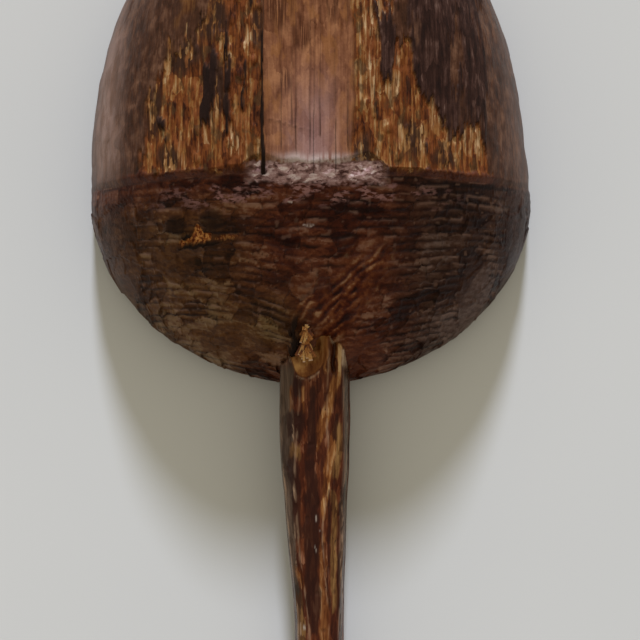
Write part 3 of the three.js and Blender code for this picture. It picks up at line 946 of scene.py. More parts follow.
def root_shape(x, y, z, axis_z):
    """The handle's root as its carver left it: a scoop, a proud knob and a gap beside it, the gap painted
    dark as its shadow.
    """
    sx, sy, sz = SCOOP.reach
    inside = 1 - ((x - SCOOP.x) / sx) ** 2 - ((y - SCOOP.y) / sy) ** 2
    floor = SCOOP.z - sz * np.sqrt(np.clip(inside, 0, 1)) + 0.3 * noise(x / 4, y / 5, 153)
    scooped = np.where(inside > 0, np.clip(z - floor, 0, None), 0)
    # the lip: a thin painted highlight along the scoop's edge
    lip = np.exp(-(((z - floor + 0.1) / 0.45) ** 2)) * (inside > 0) * step(6.5, 4.5, x)
    lip = lip * step(-0.5, 0.3, noise(x / 2, y / 2, 158))
    z = z - scooped
    gap = np.exp(-(((x - 10.6 - 0.9 * noise(y / 5, 0 * y, 154)) / 1.3) ** 2))
    gap = gap * step(FRONT_Y + 3, FRONT_Y + 9, y)
    ribbon = np.exp(-(((x - 7.6) / 2.0) ** 2)) * step(FRONT_Y + 5, FRONT_Y + 10, y)
    limit = np.interp(x, *zip(*ROOT_END)) + 0.7 * noise(x / 1.8, 0 * x, 155)
    dome = dome_height(x, y)
    round_off = (3.0 * step(limit - 6, limit, y) ** 2 + 1.5 * step(15, 18.5, x)) * step(8, 11, x)
    top = z - 2.8 * gap + 1.0 * ribbon - round_off
    buried = step(limit - 0.9, limit + 0.9, y)
    top = np.where(z > axis_z, top * (1 - buried) + np.minimum(top, dome - 1.5) * buried, z)
    shoulder = step(14.2, 15.4, x) * step(FRONT_Y + 7, FRONT_Y + 12, y)
    knob = step(9, 11, x) * np.maximum(step(limit - 3.5, limit - 1.5, y), shoulder)
    # painted highlights on the knob's top and along the scoop's lip
    bright = np.maximum(knob * step(-0.4, 0.1, noise(x / 2, y / 2.5, 157)), 0.4 * lip)
    # painted light and shade across the scoop: lighter on its left and round its rim, darker elsewhere
    lit = 0.75 + 0.30 * step(1, -13, x) + 0.25 * step(0.45, 0.05, inside) + 0.30 * fbm(x / 4, y / 4, 2, 159)
    pale = step(0.15, 1.0, scooped) * (1 - gap) * np.clip(lit, 0, 1)
    return top, pale, np.clip(gap, 0, 1), ribbon, bright


def handle_rows():
    """Places along the handle, closer together round its two ends."""
    middle = np.linspace(END_Y + END_ROUND, ROOT_Y - ROOT_ROUND, 470)
    curve = 1 - np.cos(np.linspace(0.12, math.pi / 2, 14))[:-1]
    y = np.concatenate([END_Y + END_ROUND * curve, middle, (ROOT_Y - ROOT_ROUND * curve)[::-1]])
    y[0], y[-1] = END_Y, ROOT_Y
    return y


def handle_masks(x, along, side, up, ridge):
    """Where the handle is honey, olive, dark or scuffed, where its sides carry a painted grey sheen, and
    where painted lines of light run along their edges."""
    left_cut = np.interp(along, *zip(*LEFT_CUT))
    grey = step(left_cut + 0.05, left_cut - 0.03, side) + 0.8 * step(0.80, 0.88, side)
    # painted highlights: lines of light along the outer sides and the left facet's edge
    outer_line = step(0.05, 0.02, np.abs(side + 0.90)) * step(-14, -40, along)
    outer_line = outer_line + step(0.05, 0.02, np.abs(side - 0.95))
    inner_line = step(0.035, 0.015, np.abs(side - left_cut)) * step(-0.3, 0.3, noise(along / 6, side, 156))
    return {
        "honey": streaks(x, along, HONEY_STREAKS),
        "olive": streaks(x, along, OLIVE_STREAKS) * up,
        "dark": streaks(x, along, DARK_STREAKS) * up,
        "grey": np.clip(grey, 0, 1) * step(FRONT_Y + 17, FRONT_Y + 6, along) * up,
        "ridge": np.clip(0.5 * ridge + outer_line + inner_line, 0, 1) * up,
        "speck": streaks(x, along, SCUFFS, 0.1) * up,
    }


def build_handle():
    """The handle: a hewn stick from its rounded end to its root, and the tenon behind that."""
    y = handle_rows()
    near = np.minimum((y - END_Y) / END_ROUND, 1)
    shrink = 0.35 + 0.65 * np.sqrt(1 - (1 - near) ** 2)
    around = 180
    angle = np.linspace(0, 2 * math.pi, around, endpoint=False)[None, :]
    along = np.broadcast_to(y[:, None], (len(y), around))
    x0, z0, half_width, half_height = (c[:, None] for c in handle_course(y))
    radius, ridge = handle_radius(angle, along, half_width, half_height)
    radius = radius * shrink[:, None]
    grain = 0.07 * fbm(angle * half_width / 1.4, along / 30, 3, 151)
    nicks = 0.30 * step(0.60, 0.8, noise(angle * half_width / 2.2, along / 6, 152))
    radius = radius + grain - nicks * step(END_Y + 4, END_Y + 12, along)
    x = x0 + radius * np.cos(angle)
    z = z0 + radius * np.sin(angle)
    z, pale, gap, ribbon, bright = root_shape(x, along, z, z0)

    up = step(-0.1, 0.35, np.sin(angle)) * np.ones_like(x)
    side = (x - x0) / half_width + 0.05 * noise(along / 14, 0 * x, 154)
    masks = handle_masks(x, along, side, up, ridge)
    honey = np.clip(masks["honey"] + ribbon, 0, 1) * up
    masks["honey"] = honey * (1 - 0.5 * step(-56, -78, along))
    # painted shadow: the gap beside the knob is darkened
    masks["dark"] = np.clip(masks["dark"] + gap * up, 0, 1)
    masks.update(pale=pale, bright=bright * up, edge=nicks)
    room = hollow_front(x[-1], z[-1]) - WALL_COVER - BURIED_FROM
    buried = np.clip(along - BURIED_FROM, 0, None)
    along = along - buried * (1 - np.clip(room / (ROOT_Y - BURIED_FROM), 0, 1))
    points = np.stack([x, along, z], axis=-1)
    ends = np.array([[x0[0, 0], END_Y, z0[0, 0]], [x0[-1, 0], along[-1].mean(), z0[-1, 0]]])
    closed = closed_rows(0, len(y), around)
    first, last = len(y) * around, len(y) * around + 1
    faces = [grid_faces(closed, True), fan_faces(first, closed[0], True), fan_faces(last, closed[-1])]
    points = np.concatenate([points.reshape(-1, 3), ends])
    values = {k: np.concatenate([v.ravel(), [0, 0]]) for k, v in masks.items()}
    bar_points, bar_faces = tenon_bar(len(points))
    values = {k: np.concatenate([v, np.zeros(len(bar_points))]) for k, v in values.items()}
    return make_mesh("handle_hewn", np.concatenate([points, bar_points]), faces + bar_faces, values)


def tenon_bar(first):
    """The tenon behind the handle's shoulder, slotted at its inner end for the wedge."""
    steps = 24
    left, right = TENON.x - TENON.width / 2, TENON.x + TENON.width / 2
    mouth, root = SLOT.mouth / 2, SLOT.end / 2
    outline = [
        (left, TENON.start), (right, TENON.start), (right, TENON.end), (TENON.x + mouth, TENON.end),
        (TENON.x + root, SLOT.start), (TENON.x - root, SLOT.start), (TENON.x - mouth, TENON.end),
        (left, TENON.end),
    ]
    outline = rounded_outline(np.array(outline), steps)
    return extrude(outline, TENON.z - TENON.height / 2, TENON.z + TENON.height / 2, first, 0.8)


def rounded_outline(corners, steps):
    """A closed outline with evenly many points along each side, slightly uneven as if hewn."""
    following = np.roll(corners, -1, axis=0)
    share = np.linspace(0, 1, steps, endpoint=False)[None, :, None]
    line = corners[:, None] * (1 - share) + following[:, None] * share
    line = line.reshape(-1, 2)
    x, y = line[:, 0] / 3, line[:, 1] / 3
    return line + 0.12 * np.stack([noise(x, y, 161), noise(y, x, 162)], axis=-1)


def extrude(outline, low, high, first, chamfer):
    """A closed solid: the outline carried from low to high in Z, its edges slightly worn."""
    centre = outline.mean(axis=0)
    worn = 1 - chamfer * 0.04
    levels = [(low, worn), (low + chamfer, 1), ((low + high) / 2, 1), (high - chamfer, 1), (high, worn)]
    rings = []
    for z, scale in levels:
        rings.append(np.column_stack([centre + (outline - centre) * scale, np.full(len(outline), z)]))
    return np.concatenate(rings), capped_tube(first, len(rings), len(outline))


# ------------------------------------------------------------------ the small pieces


def build_wedge():
    """The wedge: split wood, thin at its tip and thick where it is struck."""
    low, high = node_box("tenon_wedge")
    thick, thin = (high[0] - low[0]) / 2, SLOT.end / 2 - 0.3
    half = [(thin, low[1]), (thick, high[1] - 0.6), (thick - 0.4, high[1])]
    right = [(TENON.x + x, y) for x, y in half]
    left = [(TENON.x - x, y) for x, y in half]
    corners = np.array([left[0], *right, *left[:0:-1]])
    points, faces = extrude(rounded_outline(corners, 16), low[2], high[2], 0, 0.5)
    return make_mesh("wedge_split", points, faces)


# The peg's torn head: how many splinters, where they root from the peg's middle (x, y, scatter),
# the directions they span in degrees, how far they reach, and how much they rise over that.
SPLINTERS = [
    (26, (-1.7, -0.4, 2.6), (-128, -56), (5.0, 9.4), -3.8),
    (8, (-1.0, -1.6, 3.6), (-122, -46), (2.0, 4.2), -0.8),
    (18, (-1.3, 5.8, 2.0), (-128, -54), (3.2, 6.2), -2.8),
    (5, (-0.8, 6.2, 2.2), (-20, 200), (1.0, 2.2), 0.6),
]


def splinter(root, tip, width, thick):
    """A torn splinter: a lath that widens to a chisel end, as eight points."""
    along = tip - root
    side = np.cross(along, (0, 0, 1))
    side = side / max(np.linalg.norm(side), 1e-6)
    up = np.array([0, 0, thick / 2])
    wide, narrow = side * width / 3, side * width / 2
    return [root - wide - up, root + wide - up, root + wide + up, root - wide + up,
            tip - narrow - up / 3, tip + narrow - up / 3, tip + narrow + up / 3, tip - narrow + up / 3]


LATH_FACES = np.array([[0, 3, 2, 1], [4, 5, 6, 7], [0, 1, 5, 4], [1, 2, 6, 5], [2, 3, 7, 6], [3, 0, 4, 7]])
LATH_ENDS = [0, 0, 0, 0, 1, 1, 1, 1]  # which of a splinter's points are at its tip


def torn_head(middle, level):
    """The splinters of the peg's head, and how bright each is: the brightest in each fan's middle."""
    laths, shades = [], []
    for group, (count, start, (first, last), (near, far), rise) in enumerate(SPLINTERS):
        for number in range(count):
            one, two, three, four = (float(pick(97 * group + number, seed)) for seed in range(172, 176))
            share = (number + one) / count
            turn = math.radians(first + (last - first) * share)
            reach = near + (far - near) * two
            across = middle[0] + start[0] + start[2] * (three - 0.5)
            along = middle[1] + start[1] + start[2] * (four - 0.5)
            root = np.array([across, along, level + 0.4 + 0.45 * start[1] + 1.2 * one])
            lift = rise * reach / far + 0.8 * (three - 0.5)
            tip = root + (reach * math.cos(turn), reach * math.sin(turn), lift)
            laths.append(splinter(root, tip, 1.0 + 1.3 * four, 0.6 + 0.6 * two))
            shades.append(0.55 * float(pick(len(shades), 176)) + 0.60 * (1 - abs(2 * share - 1)))
    return np.array(laths), shades


def build_peg():
    """The draw peg: whittled below, its head torn into splinters that lean towards the handle."""
    low, high = node_box("draw_peg")
    centre, radius = (low + high) / 2, (high[0] - low[0]) / 2
    around = 48
    angle = np.linspace(0, 2 * math.pi, around, endpoint=False)
    rows = []
    for number, z in enumerate(np.linspace(low[2], high[2] - 3, 26)):
        worn = radius * (0.85 if number == 0 else 1) + 0.16 * noise(angle * 1.6, 0 * angle + z / 9, 171)
        across, along = centre[0] + worn * np.cos(angle), centre[1] + worn * np.sin(angle)
        rows.append(np.stack([across, along, np.full(around, z)], axis=-1))
    faces = capped_tube(0, len(rows), around)
    laths, shades = torn_head(centre, high[2])
    shaft = len(rows) * around
    first = shaft + len(LATH_ENDS) * np.arange(len(laths))[:, None, None]
    faces.append((first + LATH_FACES[None]).reshape(-1, 4))
    ends = np.tile(LATH_ENDS, len(laths))
    masks = {
        "tear": np.concatenate([np.zeros(shaft), np.ones(len(ends))]),
        "tip": np.concatenate([np.zeros(shaft), ends]),
        "shade": np.concatenate([np.full(shaft, 0.5), np.repeat(shades, len(LATH_ENDS))]),
    }
    points = np.concatenate([*rows, laths.reshape(-1, 3)])
    return make_mesh("peg_broken", points, faces, masks, smooth=False)


def build_seal():
    """The pitch collar: a soft lumpy bead round the tenon, pressed against the hollow's wall."""
    low, high = node_box("pitch_seal")
    around, section = 220, 28
    t = np.linspace(0, 2 * math.pi, around, endpoint=False)
    half_x, half_z = TENON.width / 2 + 0.9, TENON.height / 2 + 0.9
    squarish = 2 / 7
    path_x = TENON.x + half_x * np.sign(np.cos(t)) * np.abs(np.cos(t)) ** squarish
    path_z = TENON.z + half_z * np.sign(np.sin(t)) * np.abs(np.sin(t)) ** squarish
    out = np.stack([np.cos(t) * half_z, np.sin(t) * half_x], axis=-1)
    out /= np.linalg.norm(out, axis=-1, keepdims=True)
    wall = hollow_front(path_x, path_z)
    rows = []
    for s in np.linspace(0, 2 * math.pi, section, endpoint=False):
        swell = 1 + 0.22 * noise(t * 3.2, np.cos(s) * 0.8 + 0 * t, 181)
        outwards = 1.6 * (np.cos(s) + 0.55) * swell
        forwards = 2.6 * np.sin(s) * swell
        along = np.clip(wall + forwards, low[1], high[1] + 0.5)
        ring = [path_x + out[:, 0] * outwards, along, path_z + out[:, 1] * outwards]
        rows.append(np.stack(ring, axis=-1))
    index = np.arange(section * around).reshape(section, around)
    index = np.concatenate([index, index[:1]], axis=0)
    closed = np.concatenate([index, index[:, :1]], axis=1)
    return make_mesh("seal_pitch", np.concatenate(rows), [grid_faces(closed, True)])


def hollow_front(x, z):
    """Where the hollow's front wall stands along Y, for a place across and a height."""
    y = np.linspace(HOLLOW.front, HOLLOW.front + 40, 400)[:, None]
    width = np.maximum(half_width_at(HOLLOW, y), 1e-3)
    height = RIM_ROUND + (crown_at(HOLLOW, y) - RIM_ROUND) * quadrant(x[None, :] / width, HOLLOW.power)
    return y[np.argmax(height > z[None, :], axis=0), 0]


# ------------------------------------------------------------------ materials


class Look:
    """A procedural material, and a short way to write its node graph."""

    def __init__(self, name, roughness, specular=0.35, coat=0.0):
        self.material = bpy.data.materials.new(name)
        self.material.use_nodes = True
        self.tree = self.material.node_tree
        self.shader = self.tree.nodes["Principled BSDF"]
        self.shader.inputs["Specular IOR Level"].default_value = specular
        self.shader.inputs["Coat Weight"].default_value = coat
        self.shader.inputs["Coat Roughness"].default_value = 0.22
        self.shader.inputs["Roughness"].default_value = roughness
        self.place = self.node("ShaderNodeTexCoord").outputs["Object"]

    def node(self, kind, **settings):
        """A new node with these settings."""
        made = self.tree.nodes.new(kind)
        for setting, value in settings.items():
            setattr(made, setting, value)
        return made

    def feed(self, socket, value):
        """Links an output into a socket, or sets the socket to a plain value."""
        if isinstance(value, bpy.types.NodeSocket):
            self.tree.links.new(value, socket)
        elif isinstance(value, tuple):
            socket.default_value = (*value, 1.0)
        else:
            socket.default_value = value

    def mask(self, name):
        """One of the masks that the mesh carries."""
        return self.node("ShaderNodeAttribute", attribute_name=name).outputs["Fac"]

    def share(self, mask, weight):
        """A mask, scaled by a number or by another value."""
        return self.math("MULTIPLY", self.mask(mask), weight)

    def stretched(self, across, along):
        """The place in the piece, counted in steps this many millimetres across and along Y."""
        mapping = self.node("ShaderNodeMapping")
        mapping.inputs["Scale"].default_value = (1 / (across * MM), 1 / (along * MM), 1 / (across * MM))
        self.feed(mapping.inputs["Vector"], self.place)
        return mapping.outputs["Vector"]

    def chunks(self, across, along):
        """One value from 0 to 1 for each irregular chunk of about this size."""
        sway = 0.9
        place = self.stretched(across, along)
        wobble = self.node("ShaderNodeTexNoise")
        wobble.inputs["Scale"].default_value = 1.3
        self.feed(wobble.inputs["Vector"], place)
        moved = self.node("ShaderNodeVectorMath", operation="MULTIPLY_ADD")
        self.feed(moved.inputs[0], wobble.outputs["Color"])
        moved.inputs[1].default_value = (sway, sway, sway)
        self.feed(moved.inputs[2], place)
        voronoi = self.node("ShaderNodeTexVoronoi")
        voronoi.inputs["Scale"].default_value = 1.0
        self.feed(voronoi.inputs["Vector"], moved.outputs["Vector"])
        parts = self.node("ShaderNodeSeparateColor")
        self.feed(parts.inputs["Color"], voronoi.outputs["Color"])
        return parts.outputs["Red"]

    def grain(self, across, along, detail, bend=0.0):
        """Noise with features this many millimetres wide and long, the grain running along Y."""
        texture = self.node("ShaderNodeTexNoise")
        texture.inputs["Scale"].default_value = 1.0
        texture.inputs["Detail"].default_value = detail
        texture.inputs["Roughness"].default_value = 0.55
        texture.inputs["Distortion"].default_value = bend
        self.feed(texture.inputs["Vector"], self.stretched(across, along))
        return texture.outputs["Fac"]

    def math(self, operation, one, two=0.0, three=0.0):
        """One sum or product, clamped to 0 to 1."""
        made = self.node("ShaderNodeMath", operation=operation, use_clamp=True)
        for socket, value in zip(made.inputs, (one, two, three)):
            self.feed(socket, value)
        return made.outputs[0]

    def blend(self, *parts):
        """A weighted sum of values, from (value, weight) pairs."""
        (value, weight), *rest = parts
        total = self.math("MULTIPLY", value, weight)
        for value, weight in rest:
            total = self.math("MULTIPLY_ADD", value, weight, total)
        return total

    def between(self, value, low, high):
        """0 at low, 1 at high, clamped."""
        made = self.node("ShaderNodeMapRange", interpolation_type="SMOOTHSTEP")
        for name, number in (("Value", value), ("From Min", low), ("From Max", high)):
            self.feed(made.inputs[name], number)
        return made.outputs["Result"]

    def ramp(self, value, name):
        """The colour that one of RAMPS gives a value."""
        stops = RAMPS[name]
        made = self.node("ShaderNodeValToRGB")
        elements = made.color_ramp.elements
        while len(elements) < len(stops):
            elements.new(0.5)
        for element, (position, *colour) in zip(elements, stops):
            element.position = position
            element.color = (*colour, 1.0)
        self.feed(made.inputs["Fac"], value)
        return made.outputs["Color"]

    def toned(self, name, *parts):
        """The colour that one of RAMPS gives a weighted sum of values."""
        return self.ramp(self.blend(*parts), name)

    def mix(self, share, one, two):
        """The first colour for a share of 0, the second for 1."""
        made = self.node("ShaderNodeMix", data_type="RGBA")
        self.feed(made.inputs["Factor"], share)
        colours = [socket for socket in made.inputs if socket.type == "RGBA"]
        self.feed(colours[0], one)
        self.feed(colours[1], two)
        return next(socket for socket in made.outputs if socket.type == "RGBA")

    def layers(self, base, *coats):
        """Colours laid over a base, each with its own share."""
        for share, colour in coats:
            base = self.mix(share, base, colour)
        return base

    def relief(self, height, depth):
        """Fine relief of this depth in millimetres, as bump."""
        bump = self.node("ShaderNodeBump")
        bump.inputs["Strength"].default_value = 1.0
        bump.inputs["Distance"].default_value = depth * MM
        self.feed(bump.inputs["Height"], height)
        self.feed(self.shader.inputs["Normal"], bump.outputs["Normal"])

    def finish(self, piece, colour, roughness):
        """Gives the material its colour and roughness, and the piece the material."""
        self.feed(self.shader.inputs["Base Color"], colour)
        self.feed(self.shader.inputs["Roughness"], roughness)
        piece.data.materials.append(self.material)


# Colour ramps: a place from 0 to 1 with its red, green and blue, for each stop. The top stops of the gold,
# hewn, twisted, handle and honey ramps are paler and greyer, as painted varnish highlights.
RAMPS = {
    "gold": [
        (0.31, 0.024, 0.005, 0.002), (0.40, 0.084, 0.021, 0.005), (0.49, 0.16, 0.046, 0.010),
        (0.57, 0.25, 0.112, 0.033), (0.69, 0.41, 0.265, 0.135),
    ],
    "cream": [(0.42, 0.13, 0.042, 0.012), (0.51, 0.27, 0.125, 0.045), (0.63, 0.45, 0.30, 0.165)],
    "hewn_red": [
        (0.34, 0.017, 0.003, 0.002), (0.50, 0.058, 0.012, 0.005), (0.64, 0.125, 0.034, 0.014),
        (0.78, 0.26, 0.13, 0.085),
    ],
    "hewn_olive": [
        (0.34, 0.021, 0.010, 0.004), (0.50, 0.055, 0.023, 0.008), (0.64, 0.105, 0.049, 0.016),
        (0.78, 0.20, 0.125, 0.060),
    ],
    "hewn_purple": [
        (0.34, 0.013, 0.004, 0.003), (0.50, 0.034, 0.012, 0.007), (0.64, 0.066, 0.031, 0.021),
        (0.78, 0.135, 0.084, 0.070),
    ],
    "worn_strip": [(0.38, 0.088, 0.027, 0.010), (0.5, 0.18, 0.069, 0.032), (0.61, 0.31, 0.135, 0.062)],
    "pink_sheen": [(0.36, 0.20, 0.097, 0.086), (0.62, 0.33, 0.19, 0.17)],
    "smoked": [
        (0.37, 0.010, 0.004, 0.003), (0.48, 0.024, 0.009, 0.006), (0.56, 0.048, 0.021, 0.015),
        (0.66, 0.14, 0.080, 0.062),
    ],
    "plain_log": [(0.37, 0.021, 0.008, 0.004), (0.5, 0.058, 0.022, 0.011), (0.64, 0.155, 0.074, 0.042)],
    "crumbled": [
        (0.34, 0.060, 0.024, 0.023), (0.44, 0.24, 0.130, 0.125), (0.56, 0.48, 0.305, 0.31),
        (0.66, 0.74, 0.60, 0.61),
    ],
    "twisted": [
        (0.28, 0.018, 0.003, 0.002), (0.46, 0.075, 0.014, 0.005), (0.62, 0.17, 0.050, 0.016),
        (0.80, 0.42, 0.235, 0.13),
    ],
    "torn_spot": [(0.40, 0.10, 0.020, 0.005), (0.49, 0.30, 0.085, 0.020), (0.60, 0.60, 0.28, 0.085)],
    "amber": [(0.40, 0.075, 0.024, 0.008), (0.62, 0.27, 0.12, 0.035)],
    "shelf": [(0.40, 0.036, 0.008, 0.004), (0.58, 0.105, 0.030, 0.013)],
    "hollow": [(0.3, 0.06, 0.028, 0.014), (0.5, 0.12, 0.058, 0.028), (0.7, 0.20, 0.11, 0.055)],
    "handle": [
        (0.36, 0.026, 0.005, 0.002), (0.48, 0.060, 0.013, 0.005), (0.57, 0.110, 0.029, 0.010),
        (0.68, 0.26, 0.115, 0.062),
    ],
    "honey": [
        (0.38, 0.070, 0.018, 0.005), (0.48, 0.16, 0.050, 0.012), (0.56, 0.29, 0.120, 0.035),
        (0.66, 0.54, 0.35, 0.17),
    ],
    "handle_olive": [
        (0.36, 0.055, 0.020, 0.007), (0.50, 0.115, 0.050, 0.016), (0.64, 0.25, 0.135, 0.045),
    ],
    "handle_grey": [
        (0.36, 0.040, 0.025, 0.017), (0.50, 0.074, 0.048, 0.033), (0.66, 0.125, 0.086, 0.060),
    ],
    "scoop": [(0.42, 0.085, 0.022, 0.006), (0.58, 0.22, 0.082, 0.023), (0.74, 0.46, 0.245, 0.085)],
    "wedge": [(0.3, 0.13, 0.06, 0.024), (0.5, 0.24, 0.13, 0.055), (0.75, 0.40, 0.25, 0.12)],
    "peg": [
        (0.37, 0.026, 0.006, 0.003), (0.50, 0.15, 0.036, 0.008), (0.64, 0.36, 0.135, 0.028),
        (0.84, 0.64, 0.39, 0.15),
    ],
    "pitch": [(0.3, 0.010, 0.005, 0.003), (0.6, 0.030, 0.014, 0.007), (0.8, 0.07, 0.032, 0.012)],
}
BLACK = (0.014, 0.007, 0.005)
DARK_BROWN = (0.035, 0.013, 0.009)


def gold_colour(look, streak, fine, tone):
    """The splintered layer: tan, orange and olive fibres, cream in patches."""
    block = look.chunks(2.0, 9)
    broad = look.chunks(7, 14)
    value = look.blend(
        (streak, 0.30), (look.grain(2.6, 10, 3), 0.30), (block, 0.12), (broad, 0.12), (tone, 0.14)
    )
    gold = look.ramp(value, "gold")
    hue = look.grain(4, 8, 3)
    gold = look.mix(look.math("MULTIPLY", look.between(hue, 0.54, 0.64), 0.55), gold, (0.21, 0.063, 0.019))
    gold = look.mix(look.math("MULTIPLY", look.between(hue, 0.46, 0.36), 0.7), gold, (0.062, 0.032, 0.012))
    gold = look.mix(look.share("shade", look.between(value, 0.60, 0.46)), gold, (0.036, 0.015, 0.008))
    cream = look.ramp(streak, "cream")
    gold = look.mix(look.share("cream_patch", look.between(value, 0.46, 0.60)), gold, cream)
    return look.mix(look.math("MULTIPLY", look.between(fine, 0.55, 0.64), 0.6), gold, (0.024, 0.008, 0.003))


def hewn_colour(look):
    """The hewn nose: red-brown in the middle, olive to the left, purple-brown to the right, with painted
    shade in its grooves and painted glints on its chips.
    """
    value = look.blend(
        (look.mask("tone"), 0.72), (look.chunks(3.2, 1.5), 0.12), (look.grain(2.2, 2.2, 4), 0.28)
    )
    red = look.ramp(value, "hewn_red")
    olive = look.ramp(value, "hewn_olive")
    purple = look.ramp(value, "hewn_purple")
    hewn = look.mix(look.mask("olive"), red, olive)
    hewn = look.mix(look.mask("purple"), hewn, purple)
    return look.layers(
        hewn,
        # painted shade in the nose's grooves and along its cuts
        (look.share("line", 0.85), (0.009, 0.003, 0.002)),
        # painted glints: the lit chip edges and nicks
        (look.share("glint", 0.5), (0.28, 0.155, 0.115)),
        # the raised scratches below the ridge, painted light pink as glints
        (look.share("fringe", look.between(look.grain(3.0, 1.3, 4), 0.42, 0.56)), (0.30, 0.150, 0.145)),
    )


def bowl_look(piece):
    """The bowl: each zone of its surface in its own colours, laid over the plain log's."""
    look = Look("smoked_bowl_wood", 0.42, specular=0.09)
    fine = look.grain(0.8, 9, 4)
    streak = look.grain(1.0, 18, 4)
    long = look.grain(2.4, 60, 4)
    soft = look.grain(7, 18, 4)
    speck = look.grain(1.1, 1.3, 3)
    tone = look.mask("tone")
    gold = gold_colour(look, streak, fine, tone)
    strip = look.toned(
        "worn_strip", (long, 0.25), (look.grain(5, 9, 4), 0.40), (streak, 0.25), (look.chunks(3, 7), 0.10)
    )
    warm = look.math("MULTIPLY", look.between(look.grain(5, 12, 3), 0.53, 0.62), 0.5)
    strip = look.mix(warm, strip, (0.25, 0.098, 0.030))
    pink = look.toned("pink_sheen", (long, 0.5), (soft, 0.35), (look.chunks(4, 10), 0.15))
    dark = look.toned(
        "smoked", (long, 0.3), (streak, 0.3), (look.grain(3, 7, 3), 0.3), (look.chunks(3, 9), 0.1)
    )
    plain = look.toned(
        "plain_log",
        (soft, 0.36), (fine, 0.22), (look.grain(4, 5, 4), 0.30), (tone, 0.06), (look.chunks(3, 6), 0.06),
    )
    crumbly = look.toned(
        "crumbled", (look.grain(2.6, 1.5, 4), 0.5), (look.grain(8, 3, 3), 0.3), (look.chunks(3, 1.6), 0.2)
    )
    spine = look.toned("twisted", (look.mask("strand"), 0.55), (look.grain(1.6, 2.6, 3), 0.45))
    torn = look.ramp(look.grain(1.1, 2.2, 3), "torn_spot")
    # painted reflection: the grey sheen on the flanks
    grey = look.mix(look.between(soft, 0.4, 0.6), (0.18, 0.094, 0.062), (0.29, 0.182, 0.148))
    colour = look.layers(
        plain,
        (look.share("grey", 0.9), grey),
        (look.mask("amber"), look.toned("amber", (streak, 0.4), (soft, 0.6))),
        (look.mask("gold"), gold),
        (look.mask("dark"), dark),
        (look.mask("shelf"), look.toned("shelf", (soft, 0.6), (speck, 0.4))),
        (look.mask("strip"), strip),
        (look.share("stain", look.between(streak, 0.36, 0.60)), (0.070, 0.022, 0.009)),
        # painted sheen on the worn strip near the ridge
        (look.mask("pink"), pink),
        (look.mask("hewn"), hewn_colour(look)),
        # painted highlights: the pale edge above the ridge and the glints on the nose
        (look.share("worn", look.between(long, 0.35, 0.55)), (0.50, 0.40, 0.38)),
        (look.mask("spine"), spine),
        (look.mask("torn"), torn),
        # painted reflection: the narrow flat above the rim painted light grey, as the floor's light on it
        (look.share("rim", 0.8), (0.21, 0.165, 0.135)),
        # the crumbled ridge band: its own chips, painted pale pink-grey as sheen
        (look.mask("crumbly"), crumbly),
        (look.mask("hollow"), hollow_colour(look)),
        (look.mask("crack"), BLACK),
    )
    rough = look.math("MULTIPLY_ADD", soft, 0.4, 0.20)
    for torn_mask, rougher in (("gold", 0.2), ("crumbly", 0.2), ("dark", 0.2), ("crack", 0.4)):
        rough = look.math("MULTIPLY_ADD", look.mask(torn_mask), rougher, rough)
    look.relief(look.blend((fine, 0.6), (speck, 0.4)), 0.35)
    look.finish(piece, colour, rough)


def hollow_colour(look):
    """The hollow: used wood, darkest where food stood, with fine pores along the grain."""
    broad = look.grain(40, 70, 2)
    pores = look.grain(0.7, 14, 3)
    worn = look.ramp(broad, "hollow")
    return look.mix(look.between(pores, 0.62, 0.74), worn, DARK_BROWN)


def handle_look(piece):
    """The handle: red-brown, glossy, with honey, olive and dark streaks, a painted grey sheen on its sides,
    and painted light and shade at its root and edges.
    """
    look = Look("oiled_handle_wood", 0.34, specular=0.09, coat=0.04)
    long = look.grain(1.4, 36, 4, bend=0.5)
    fine = look.grain(0.7, 12, 3)
    soft = look.grain(4, 18, 4, bend=0.8)
    value = look.blend((soft, 0.42), (long, 0.42), (look.chunks(2.4, 11), 0.16))
    body = look.ramp(value, "handle")
    honey = look.ramp(value, "honey")
    olive = look.ramp(value, "handle_olive")
    grey = look.ramp(value, "handle_grey")
    pale = look.toned("scoop", (soft, 0.5), (fine, 0.2), (look.mask("pale"), 0.3))
    nick = look.between(look.grain(1.6, 2.6, 2), 0.72, 0.76)
    colour = look.layers(
        body,
        # painted sheen on the handle's sides
        (look.share("grey", 0.9), grey),
        (look.share("olive", 0.85), olive),
        (look.share("honey", 0.9), honey),
        (look.share("dark", 0.8), (0.022, 0.006, 0.004)),
        # painted highlights along the facets' edges, partly their own worn wood
        (look.share("ridge", look.between(soft, 0.42, 0.6)), (0.30, 0.19, 0.12)),
        # the scoop's pale wood, with its painted light and shade
        (look.mask("pale"), pale),
        # painted highlights on the knob and the scoop's lip
        (look.share("bright", look.between(fine, 0.38, 0.50)), (0.50, 0.36, 0.25)),
        (look.mask("edge"), DARK_BROWN),
        (look.share("speck", 0.75), (0.44, 0.36, 0.30)),
        (nick, (0.03, 0.012, 0.006)),
    )
    rough = look.math("MULTIPLY_ADD", soft, 0.25, look.math("MULTIPLY_ADD", look.mask("pale"), 0.2, 0.16))
    look.relief(look.blend((fine, 0.6), (long, 0.4)), 0.3)
    look.finish(piece, colour, rough)


def wedge_look(piece):
    """The wedge: dull split wood, darker where it is stained."""
    look = Look("split_wedge_wood", 0.6)
    fine = look.grain(0.6, 9, 4)
    stain = look.grain(5, 5, 3)
    wood = look.ramp(fine, "wedge")
    colour = look.mix(look.between(stain, 0.45, 0.7), wood, (0.10, 0.045, 0.02))
    look.relief(fine, 0.3)
    look.finish(piece, colour, look.math("MULTIPLY_ADD", stain, 0.3, 0.45))


